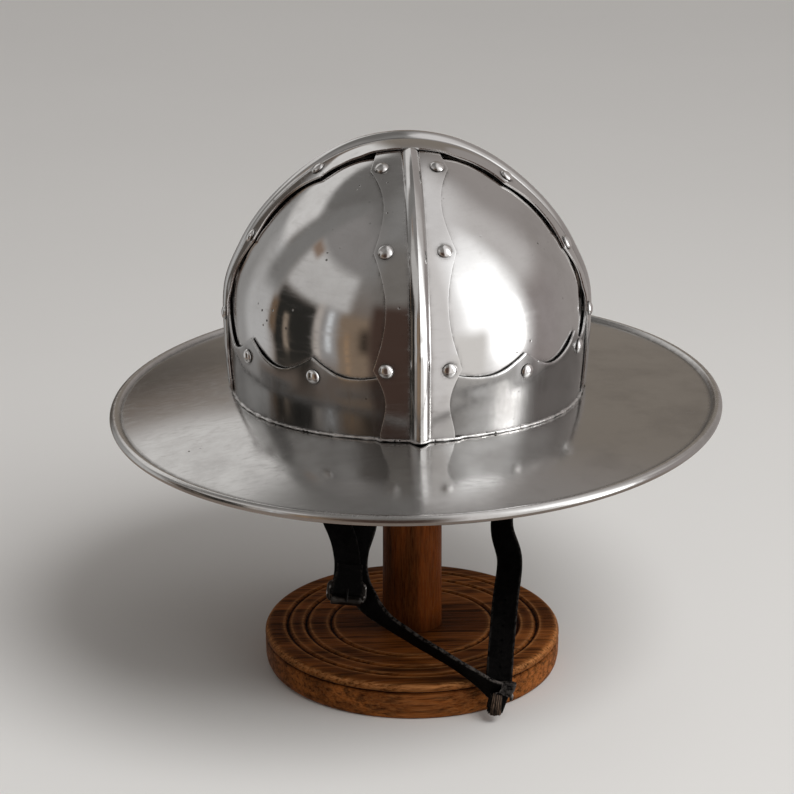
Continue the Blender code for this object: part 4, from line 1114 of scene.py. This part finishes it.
def makeRivets():
    look = rivetSettings
    head, height, burr, burrHeight = look["head"], look["height"], look["burr"], look["burrHeight"]
    outline = [(poleRadius, 0.0)]
    for angle in quarterTurn(8, 1):
        outline.append((head * math.sin(angle), height * (math.cos(angle) - 1)))
    outline += [(head * 0.985, -height - 0.00025), (head * 0.9, -height - 0.0003),
                (look["shank"], -height - 0.0003), (look["shank"], -1.0),
                (burr, -1.0), (burr * 0.7, -1.0007),
                (poleRadius, -1.0 - burrHeight)]
    model = turnedPiece("rivetModel", outline, look["sides"])
    for count, (name, tip, axis, length) in enumerate(sorted(rivetPlaces)):
        mesh = model.data.copy()
        piece = bpy.data.objects.new(name + "_fine", mesh)
        scene.collection.objects.link(piece)
        turn = axis.to_track_quat("Z", "Y").to_matrix().to_4x4()
        turn = Matrix.Translation(tip) @ turn @ Matrix.Rotation(1.3 * count, 4, "Z")
        squash = 1 + look["squash"] * math.sin(2.1 * count)
        for vert in mesh.vertices:
            co = vert.co
            if co.z < -0.5:
                co.z = co.z + 1.0 + burrHeight - length
            elif co.z > -height - 0.00001:
                co.z = co.z - look["dent"] * abs(roughNumber(Vector((co.x, co.y, 0)), 330, count))
            co.x *= squash
            vert.co = turn @ co
        # seam: painted shade round the foot of the head
        edge = tip - (height + 0.0002) * axis
        paint(piece, "seam", lambda co: fade((co - edge).dot(axis), 0.00035))
        finishPiece(piece, "rivetSteel", [name])
    bpy.data.objects.remove(model)


makeRivets()
for name in ("strap_rivet_left", "strap_rivet_right"):
    nodes[name].data.materials.clear()
    nodes[name].data.materials.append(materials["rivetSteel"])
print("rivets ready")


# chin strap: each row is a point of the middle line, then the way its width runs; from an ear, 1 for the
# right and -1 for the left, it first hangs down inside the crown between the two hang heights

strapSettings = {"width": 0.0155, "thickness": 0.002, "step": 0.0016, "columns": 12, "lift": -0.004,
                 "cup": 0.0005, "ripple": 0.00025, "bevel": 0.00055, "hang": (0.1975, 0.179),
                 "punch": 0.0009, "holes": (0.06, 0.0538, 0.0477, 0.0415, 0.0357, 0.0298)}
strapRight = [
    (0.081, -0.0035, 0.155, 0.1, -1.0, 0.0), (0.062, -0.009, 0.128, 0.35, -0.9, 0.0),
    (0.0512, -0.02, 0.0973, 0.7, -0.7, 0.0), (0.0545, -0.035, 0.0775, 0.9, -0.4, 0.0),
    (0.0503, -0.054, 0.0597, 0.97, -0.2, 0.0), (0.0468, -0.071, 0.0413, 0.98, -0.1, 0.0),
    (0.0443, -0.0842, 0.0272, 0.99, 0.0, 0.0), (0.0437, -0.088, 0.017, 0.99, 0.0, 0.0)]
strapCross = [
    (0.0438, -0.0935, 0.018, 0.45, -0.2, 0.85), (0.037, -0.0925, 0.0224, 0.4, -0.6, 0.69),
    (0.0272, -0.0896, 0.0288, 0.25, -0.72, 0.65), (0.0159, -0.083, 0.0344, 0.16, -0.77, 0.62),
    (0.0045, -0.0735, 0.0382, 0.16, -0.77, 0.62), (-0.0075, -0.0625, 0.042, 0.18, -0.77, 0.62),
    (-0.0213, -0.047, 0.0468, 0.36, -0.75, 0.55), (-0.0328, -0.0322, 0.055, 0.85, -0.45, 0.28),
    (-0.0375, -0.0255, 0.067, 1.0, -0.1, 0.05), (-0.037, -0.0245, 0.081, 1.0, 0.0, 0.0),
    (-0.0325, -0.022, 0.0955, 1.0, 0.0, 0.0), (-0.0285, -0.018, 0.113, 1.0, 0.0, 0.0)]
strapLeft = [
    (-0.089, -0.004, 0.156, 0.15, -1.0, 0.0), (-0.062, -0.017, 0.124, 0.6, -0.8, 0.0),
    (-0.0475, -0.0275, 0.0985, 0.98, -0.2, 0.0), (-0.043, -0.0345, 0.082, 1.0, 0.0, 0.0),
    (-0.0435, -0.0375, 0.0698, 1.0, 0.0, -0.1)]


def smoothBetween(values, k, t):
    before = values[max(k - 1, 0)]
    after = values[min(k + 2, len(values) - 1)]
    a, b = values[k], values[k + 1]
    return 0.5 * (2 * a + (b - before) * t + (2 * before - 5 * a + 4 * b - after) * t * t
                  + (3 * a - before - 3 * b + after) * t * t * t)


# points along a strap, each with the way of its width and the way it faces
def strapLine(table, ear, step):
    points = []
    widths = []
    if ear:
        out = ear * bands["side"]["along"]
        points = [wallPoint(out, height, strapSettings["lift"]) for height in strapSettings["hang"]]
        widths = [Vector((out.y, -out.x, 0)) * ear for _ in points]
    points += [Vector(row[:3]) for row in table]
    widths += [Vector(row[3:]).normalized() for row in table]
    line = []
    for k in range(len(points) - 1):
        count = max(1, round((points[k + 1] - points[k]).length / step))
        for part in range(count):
            line.append((smoothBetween(points, k, part / count), smoothBetween(widths, k, part / count)))
    line.append((points[-1], widths[-1]))
    framed = []
    for k, (point, width) in enumerate(line):
        run = (line[min(k + 1, len(line) - 1)][0] - line[max(k - 1, 0)][0]).normalized()
        width = (width - width.dot(run) * run).normalized()
        framed.append((point, width, run.cross(width)))
    return framed


def makeStrap(name, table, ear, edgeWearAndHighlight, holes=()):
    look = strapSettings
    line = strapLine(table, ear, look["step"])
    columns = look["columns"]
    thickness = look["thickness"]

    def placeAt(column, row):
        point, width, normal = line[row]
        share = 2 * column / columns - 1
        half = look["width"] / 2 * (1 + 0.025 * roughNumber(point, 60, 7 + math.copysign(1, share)))
        ripple = look["ripple"] * roughNumber(point + share * width * 0.01, 90, 11)
        return point + share * half * width + (look["cup"] * (share * share - 0.4) + ripple) * normal

    piece = gridSheet(name + "_fine", columns, len(line) - 1, placeAt)
    paintGrid(piece, "wearAndHighlight", columns,
              lambda column, row: edgeWearAndHighlight * ease(0.9, 1.0, edgeShare(column, columns)))
    giveWall(piece, thickness, bevel=look["bevel"])
    # the holes go half way through, so that the wood behind doesn't show in them
    for height in holes:
        point, width, normal = min(line, key=lambda place: abs(place[0].z - height))
        deselectAll()
        bpy.ops.mesh.primitive_cylinder_add(vertices=20, radius=look["punch"], depth=thickness,
                                            location=point + 0.5 * thickness * normal,
                                            rotation=normal.to_track_quat("Z", "Y").to_euler())
        punch = bpy.context.object
        applyModifier(piece, "BOOLEAN", object=punch, operation="DIFFERENCE", solver="EXACT")
        bpy.data.objects.remove(punch)
    finishPiece(piece, "blackLeather", [name])
    length = sum((b[0] - a[0]).length for a, b in zip(line, line[1:]))
    print(name, round(length, 3), "m long")


# edges lightened: rubbing, and on the crossing strap also a painted highlight along its edges
makeStrap("strap_left", strapLeft, -1, 0.08)
makeStrap("strap_right", strapRight, 1, 0.4, strapSettings["holes"])
makeStrap("strap_cross", strapCross, 0, 0.8)
print("straps ready")


# roller buckle: made flat at the origin, with its lower bar on the x axis, then turned into place

buckleSettings = {"place": (-0.044, -0.0405, 0.0563), "lean": math.radians(-14), "tilt": math.radians(7),
                  "width": 0.024, "height": 0.0105, "wire": 0.0013, "roller": 0.003, 
                  "rollerLength": 0.018,
                  "tongue": 0.0009, "corner": 0.0022, "gap": 0.0003, "dent": 0.00012,
                  "wireSides": 6, "rollerSides": 32}
buckleTurn = (Matrix.Translation(buckleSettings["place"])
              @ Matrix.Rotation(buckleSettings["tilt"], 4, "Y")
              @ Matrix.Rotation(buckleSettings["lean"], 4, "X"))


def wireMesh(name, points, radiusAt, cyclic):
    deselectAll()
    path = bpy.data.curves.new(name, "CURVE")
    path.dimensions = "3D"
    path.bevel_depth = 1.0
    path.bevel_resolution = buckleSettings["wireSides"]
    path.use_fill_caps = True
    line = path.splines.new("POLY")
    line.points.add(len(points) - 1)
    for k, (knot, point) in enumerate(zip(line.points, points)):
        knot.co = (*point, 1)
        knot.radius = radiusAt(k / len(points))
    line.use_cyclic_u = cyclic
    piece = bpy.data.objects.new(name, path)
    scene.collection.objects.link(piece)
    pick(piece)
    bpy.ops.object.convert(target="MESH")
    piece = bpy.context.object
    mendMesh(piece, 1e-6)
    return piece


def finishBuckle(piece, replaced, wearAndHighlight, dark=0.0):
    for vert in piece.data.vertices:
        vert.co += buckleSettings["dent"] * roughNumber(vert.co, 700, 17) * vert.normal
    piece.data.transform(buckleTurn)
    paint(piece, "wearAndHighlight", lambda co: wearAndHighlight * ease(0.15, 0.45, roughNumber(co, 420, 19)))
    # seam: painted shade, by the given dark share
    paint(piece, "seam", lambda co: dark)
    finishPiece(piece, "blackMetal", [replaced])


def makeBuckleFrame():
    look = buckleSettings
    half = look["width"] / 2 - look["wire"]
    corner = look["corner"]
    loop = []
    high = look["height"]
    for x, z, start in ((half, 0, -90), (half, high, 0), (-half, high, 90), (-half, 0, 180)):
        inward = Vector((-math.copysign(corner, x), 0, corner if z == 0 else -corner))
        for turn in range(0, 91, 15):
            angle = math.radians(start + turn)
            outward = Vector((math.cos(angle), 0, math.sin(angle)))
            loop.append(Vector((x, 0, z)) + inward + corner * outward)
    fine = []
    for first, second in zip(loop, loop[1:] + loop[:1]):
        count = max(1, round((second - first).length / 0.001))
        fine += [first.lerp(second, k / count) for k in range(count)]
    piece = wireMesh("buckle_frame_fine", fine,
                     lambda t: look["wire"] * (1 + 0.12 * math.sin(23 * t)), True)
    finishBuckle(piece, "buckle_frame", 1.0)


def makeBuckleRoller():
    look = buckleSettings
    length = look["rollerLength"] / 2
    bore = look["wire"] + look["gap"]
    radius = look["roller"]
    outline = [(bore, length), (radius - 0.0005, length), (radius - 0.0001, length - 0.0003)]
    for k in range(9):
        share = 1 - 2 * k / 8
        outline.append((radius * (1 - 0.04 * (1 - share ** 2)), (length - 0.0006) * share))
    outline += [(radius - 0.0001, 0.0003 - length), (radius - 0.0005, -length),
                (bore, -length), (bore, 0.0),
                (bore, length)]
    piece = turnedPiece("buckle_roller_fine", outline, look["rollerSides"], joined=True)
    piece.data.transform(Matrix.Rotation(math.pi / 2, 4, "Y"))
    finishBuckle(piece, "buckle_roller", 0.15)


def makeBuckleTongue():
    look = buckleSettings
    reach = look["height"] - look["wire"] - look["gap"] - look["tongue"]
    front = -look["roller"] - look["tongue"] - look["gap"]
    stops = [Vector((0, -look["wire"] - 0.5 * look["tongue"], reach)),
             Vector((0, front, look["roller"] + 0.001)), Vector((0, front, 0))]
    points = []
    for first, second in zip(stops, stops[1:]):
        points += [first.lerp(second, k / 6) for k in range(6)]
    points.append(stops[-1])
    piece = wireMesh("buckle_tongue_fine", points, lambda t: look["tongue"] * (1 - 0.25 * t), False)
    # the tongue is painted near black: painted shade
    finishBuckle(piece, "buckle_tongue", 0.0, 0.85)


# the strap's end folded round the buckle's upper bar: front run, bend and back run
chapeSettings = {"bendUp": 0.0029, "frontRun": 0.0166, "front": 0.0022, "bendHalf": 0.0024,
                 "width": 0.0196, "narrow": 0.0042, "narrowRise": 0.013, "thickness": 0.0016,
                 "step": 0.0012, "bevel": 0.0004,
                 "columns": 10}


def makeChape():
    look = chapeSettings
    step, half = look["step"], look["bendHalf"]
    bend = buckleSettings["roller"] + look["bendUp"]
    wrap = [Vector((0, -look["front"], bend + look["frontRun"] - step * k)) for k in range(14)]
    for turn in range(0, 181, 20):
        angle = math.radians(turn)
        wrap.append(Vector((0, -half * math.cos(angle), bend - half * math.sin(angle))))
    wrap += [Vector((0, look["front"], bend + step * k)) for k in range(1, 12)]
    columns = look["columns"]

    def placeAt(column, row):
        width = look["width"] - look["narrow"] * ease(bend, bend + look["narrowRise"], wrap[row].z)
        return wrap[row] + Vector((width * (column / columns - 0.5), 0, 0))

    piece = gridSheet("strap_chape", columns, len(wrap) - 1, placeAt)
    paintGrid(piece, "wearAndHighlight", columns,
              lambda column, row: 0.25 * ease(0.8, 1.0, edgeShare(column, columns)))
    piece.data.transform(buckleTurn)
    giveWall(piece, look["thickness"], bevel=look["bevel"])
    finishPiece(piece, "blackLeather", [])


makeBuckleFrame()
makeBuckleRoller()
makeBuckleTongue()
makeChape()
print("buckle ready")


# where the straps meet: a loop of leather, the raw ends folded under it and a stud

keeperSettings = {"place": (0.0466, -0.0945, 0.021), "width": 0.008, "radius": 0.004, "wall": 0.002,
                  "tilt": math.radians(6), "bevel": 0.0005, "columns": 10, "step": 0.0006, "frontRows": 6,
                  "frontRun": 0.0036, "slant": (0.0031, 0.0013)}


def makeKeeper():
    look = keeperSettings
    radius, step, frontRows, columns = look["radius"], look["step"], look["frontRows"], look["columns"]
    line = [Vector((0, -radius, -look["frontRun"] + step * k)) for k in range(frontRows)]
    line += [Vector((0, -radius * math.cos(math.pi * k / 24), radius * math.sin(math.pi * k / 24)))
             for k in range(25)]
    line += [Vector((0, radius, -step * k)) for k in range(1, 4)]
    slantLeft, slantRight = look["slant"]

    def placeAt(column, row):
        share = 2 * column / columns - 1
        ragged = 1 + 0.05 * roughNumber(line[row], 420, 23 + math.copysign(1, share))
        curl = Vector((0.5 * line[row].z, 0, -0.0005 * share * share))
        if row < frontRows:
            # the front end is cut on a slant
            curl.z += (1 - row / frontRows) * (slantLeft + (slantRight - slantLeft) * column / columns)
        return line[row] + curl + Vector((share * look["width"] / 2 * ragged, 0, 0))

    piece = gridSheet("strap_keeper_fine", columns, len(line) - 1, placeAt)
    paintGrid(piece, "wearAndHighlight", columns,
              lambda column, row: 0.35 + 0.65 * ease(0.7, 1.0, edgeShare(column, columns)))
    piece.data.transform(Matrix.Translation(look["place"]) @ Matrix.Rotation(look["tilt"], 4, "Y"))
    giveWall(piece, look["wall"], bevel=look["bevel"])
    finishPiece(piece, "blackLeather", ["strap_keeper"])


# leaves one behind the other: the first is narrow and raw, with ribs, and the rest are black
foldSettings = {"leaves": 5, "columns": 44, "rows": 22,
                "foot": 0.0026, "rawLeft": 0.0016, "rawRight": 0.0046,
                "rawTop": 0.0022, "rawTopSlope": 0.0016,
                "ragged": 0.0016, "stagger": 0.0005, "bow": 0.0005,
                "ribs": 4.5, "ribDepth": 0.00045, "crease": 0.00015, "bevel": 0.0003,
                "rawShear": (0.002, -0.0014), "shear": (0.0018, 0.0022)}


def ribAt(across, rise):
    wander = 0.9 * roughNumber(Vector((across, rise, 0)), 3.1, 37)
    return 0.5 + 0.5 * math.cos(2 * math.pi * foldSettings["ribs"] * across + wander)


def makeLeaf(leaf, low, high):
    look = foldSettings
    columns, rows = look["columns"], look["rows"]
    depth = (high.y - low.y) / look["leaves"]
    middle = low.y + (leaf + 0.5) * depth
    raw = leaf == 0
    left = low.x + (look["rawLeft"] if raw else 0.0004 * (leaf % 2))
    right = high.x - (look["rawRight"] if raw else 0.0003 * leaf)
    shearLeft, shearMore = look["rawShear" if raw else "shear"]

    def placeAt(column, row):
        across = column / columns
        rise = row / rows
        x = left + (right - left) * across
        ragged = look["ragged"] * abs(roughNumber(Vector((x, leaf * 0.01, 0)), 700, 29 + leaf))
        ragged *= 1 - rise
        top = high.z + (look["rawTop"] - look["rawTopSlope"] * across if raw else -0.0003)
        lift = look["stagger"] * leaf
        z = low.z + ragged + lift + (top - low.z - ragged - lift) * rise
        y = look["crease"] * roughNumber(Vector((x, leaf * 0.02, 0.12 * z)), 900, 31)
        y -= look["ribDepth"] * ribAt(across, rise) if raw else 0.0
        bow = look["bow"] * math.sin(math.pi * across)
        return Vector((x - (shearLeft + shearMore * across) * (1 - rise), middle + y - bow, z))

    def wearAndHighlightAt(column, row):
        # the raw leaf's rib crests are lighter: a painted highlight; the black leaves' edges and foot are
        # rubbed
        if raw:
            return ribAt(column / columns, row / rows) ** 16
        return 0.3 * max(ease(0.85, 1, edgeShare(column, columns)), 1 - ease(0, 0.15, row / rows))

    piece = gridSheet(f"strap_fold_leaf{leaf + 1}", columns, rows, placeAt)
    paintGrid(piece, "wearAndHighlight", columns, wearAndHighlightAt)
    giveWall(piece, 0.8 * depth, bevel=look["bevel"], segments=2, even=False)
    if raw:
        finishPiece(piece, "rawLeather", ["strap_fold"])
    else:
        finishPiece(piece, "blackLeather", [])


def makeFold():
    low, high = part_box("strap_fold")
    low.z += foldSettings["foot"]
    for leaf in range(foldSettings["leaves"]):
        makeLeaf(leaf, low, high)


studSettings = {"dome": 1.6, "sides": 24}


def makeStud():
    low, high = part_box("strap_stud")
    radius = (high.z - low.z) / 2
    thick = studSettings["dome"] * (high.x - low.x)
    outline = [(poleRadius, thick)]
    for angle in quarterTurn(7, 1)[:-1]:
        outline.append((radius * math.sin(angle), thick * math.cos(angle)))
    outline += [(radius, 0.0003), (radius * 0.93, 0.0), (poleRadius, 0.0)]
    piece = turnedPiece("strap_stud_fine", outline, studSettings["sides"])
    place = Vector((low.x, (low.y + high.y) / 2, (low.z + high.z) / 2))
    piece.data.transform(Matrix.Translation(place) @ Matrix.Rotation(math.pi / 2, 4, "Y"))
    # lighter towards the top of its dome: a painted highlight
    paint(piece, "wearAndHighlight", lambda co: ease(low.x + 0.6 * thick, high.x, co.x))
    finishPiece(piece, "blackMetal", ["strap_stud"])


makeKeeper()
makeFold()
makeStud()
print("fitting ready")


# turned stand

standSettings = {"sides": 160, "postSides": 96, "grooves": (0.847, 0.72, 0.553),
                 "grooveHalf": 0.0017, "grooveDepth": 0.0016,
                 "shoulder": 0.0045, "lineUnder": 0.0051, "wobble": 0.00012, "capCrown": 0.0096}
standLow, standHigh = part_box("stand_base")
standMiddle = Vector(((standLow.x + standHigh.x) / 2, (standLow.y + standHigh.y) / 2, 0))
standTop = standHigh.z


# points beyond the groove keep the lightening painted on its lips from running out over the flats
def grooveOutline(middle, top):
    half = standSettings["grooveHalf"]
    depth = standSettings["grooveDepth"]
    steps = [-3.0, -2.0, -1.35, -1.05, -0.8, -0.5, -0.2, 0.0, 0.2, 0.5, 0.8, 1.05, 1.35, 2.0, 3.0]
    return [(middle + half * step, top - depth * max(0.0, 1 - abs(step) ** 1.4)) for step in steps]


def makeBase():
    look = standSettings
    radius = (standHigh.x - standLow.x) / 2
    top = standTop
    outline = [(poleRadius, top)]
    for share in reversed(look["grooves"]):
        outline += grooveOutline(share * radius, top)
    shoulder = look["shoulder"]
    drop = look["lineUnder"] - 0.0009
    for angle in quarterTurn(8):
        outline.append((radius - shoulder * (1 - math.sin(angle)), top - drop * (1 - math.cos(angle))))
    line = top - look["lineUnder"]
    for inset, height in ((0.0006, line + 0.0003), (0.0013, line), (0.0008, line - 0.0006),
                          (0.0003, line - 0.0016), (0.0001, line - 0.004), (0.0003, 0.006),
                          (0.0009, 0.003), (0.0017, 0.0012), (0.0028, 0.0002), (0.0034, 0.0)):
        outline.append((radius - inset, height))
    piece = turnedPiece("stand_base_fine", outline + [(poleRadius, 0.0)], look["sides"], standMiddle)
    for vert in piece.data.vertices:
        if vert.co.z > 0.001:
            outward = Vector((vert.co.x, vert.co.y, 0)).normalized()
            vert.co += look["wobble"] * roughNumber(vert.co, 70, 41) * outward

    def awayAt(co):
        return math.hypot(co.x - standMiddle.x, co.y - standMiddle.y)

    # seam: painted shade in the grooves, in the line under the shoulder and round the post's foot
    def seamAt(co):
        away = awayAt(co)
        cut = max(ease(0.1, 1.0, 1 - abs(away - share * radius) / 0.0011) for share in look["grooves"])
        side = fade(abs(co.z - line), 0.0007) if away > radius - 0.002 else 0.0
        foot = 0.5 * fade(away - 0.0185, 0.0025) if co.z > top - 0.003 else 0.0
        return max(cut if co.z > top - 0.004 else 0.0, side, foot)

    # lighter: the grooves' lips and the rim, rubbing and a painted highlight, and the whole side below
    # the line, painted light
    def wearAndHighlightAt(co):
        away = awayAt(co)
        lips = max(fade(abs(abs(away - share * radius) - 0.0022), 0.0007) for share in look["grooves"])
        rim = fade(abs(away - (radius - 0.0012)), 0.0012) if co.z > line + 0.0005 else 0.0
        side = 0.18 if co.z < line - 0.0008 else 0.0
        return max(0.9 * lips if co.z > top - 0.0005 else 0.0, rim, side)

    paint(piece, "seam", seamAt)
    paint(piece, "wearAndHighlight", wearAndHighlightAt)
    finishPiece(piece, "baseWood", ["stand_base"])


def makePost():
    low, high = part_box("stand_post")
    radius = (high.x - low.x) / 2
    top = standTop
    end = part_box("stand_cap")[0].z
    span = end - top
    outline = [(poleRadius, top - 0.0002), (radius * 1.005, top - 0.0002)]
    for k in range(25):
        share = k / 24
        swell = 1.005 - 0.035 * share + 0.01 * math.exp(-share * 26)
        outline.append((radius * swell, top + 0.0006 + (span - 0.0012) * share))
    outline += [(radius * 0.95, end), (poleRadius, end)]
    piece = turnedPiece("stand_post_fine", outline, standSettings["postSides"], standMiddle)
    # seam: painted shade at the post's foot
    paint(piece, "seam", lambda co: 0.7 * fade(co.z - top, 0.0016))
    paint(piece, "wearAndHighlight", lambda co: 0.25)
    finishPiece(piece, "postWood", ["stand_post"])


def makeCap():
    low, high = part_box("stand_cap")
    radius = (high.x - low.x) / 2
    crown = standSettings["capCrown"]
    outline = [(poleRadius, high.z)]
    for share in (0.15, 0.3, 0.45, 0.6, 0.75, 0.88, 0.96):
        outline.append((radius * share, high.z - crown * share * share))
    outline += [(radius * 0.99, high.z - crown - 0.0008), (radius, high.z - crown - 0.0024),
                (radius, low.z + 0.007), (radius * 0.985, low.z + 0.0056), (0.027, low.z + 0.0006),
                (0.0255, low.z), (poleRadius, low.z)]
    piece = turnedPiece("stand_cap_fine", outline, standSettings["postSides"], standMiddle)
    paint(piece, "seam", lambda co: 0.0)
    paint(piece, "wearAndHighlight", lambda co: 0.2)
    finishPiece(piece, "baseWood", ["stand_cap"])


makeBase()
makePost()
makeCap()
print("stand ready")
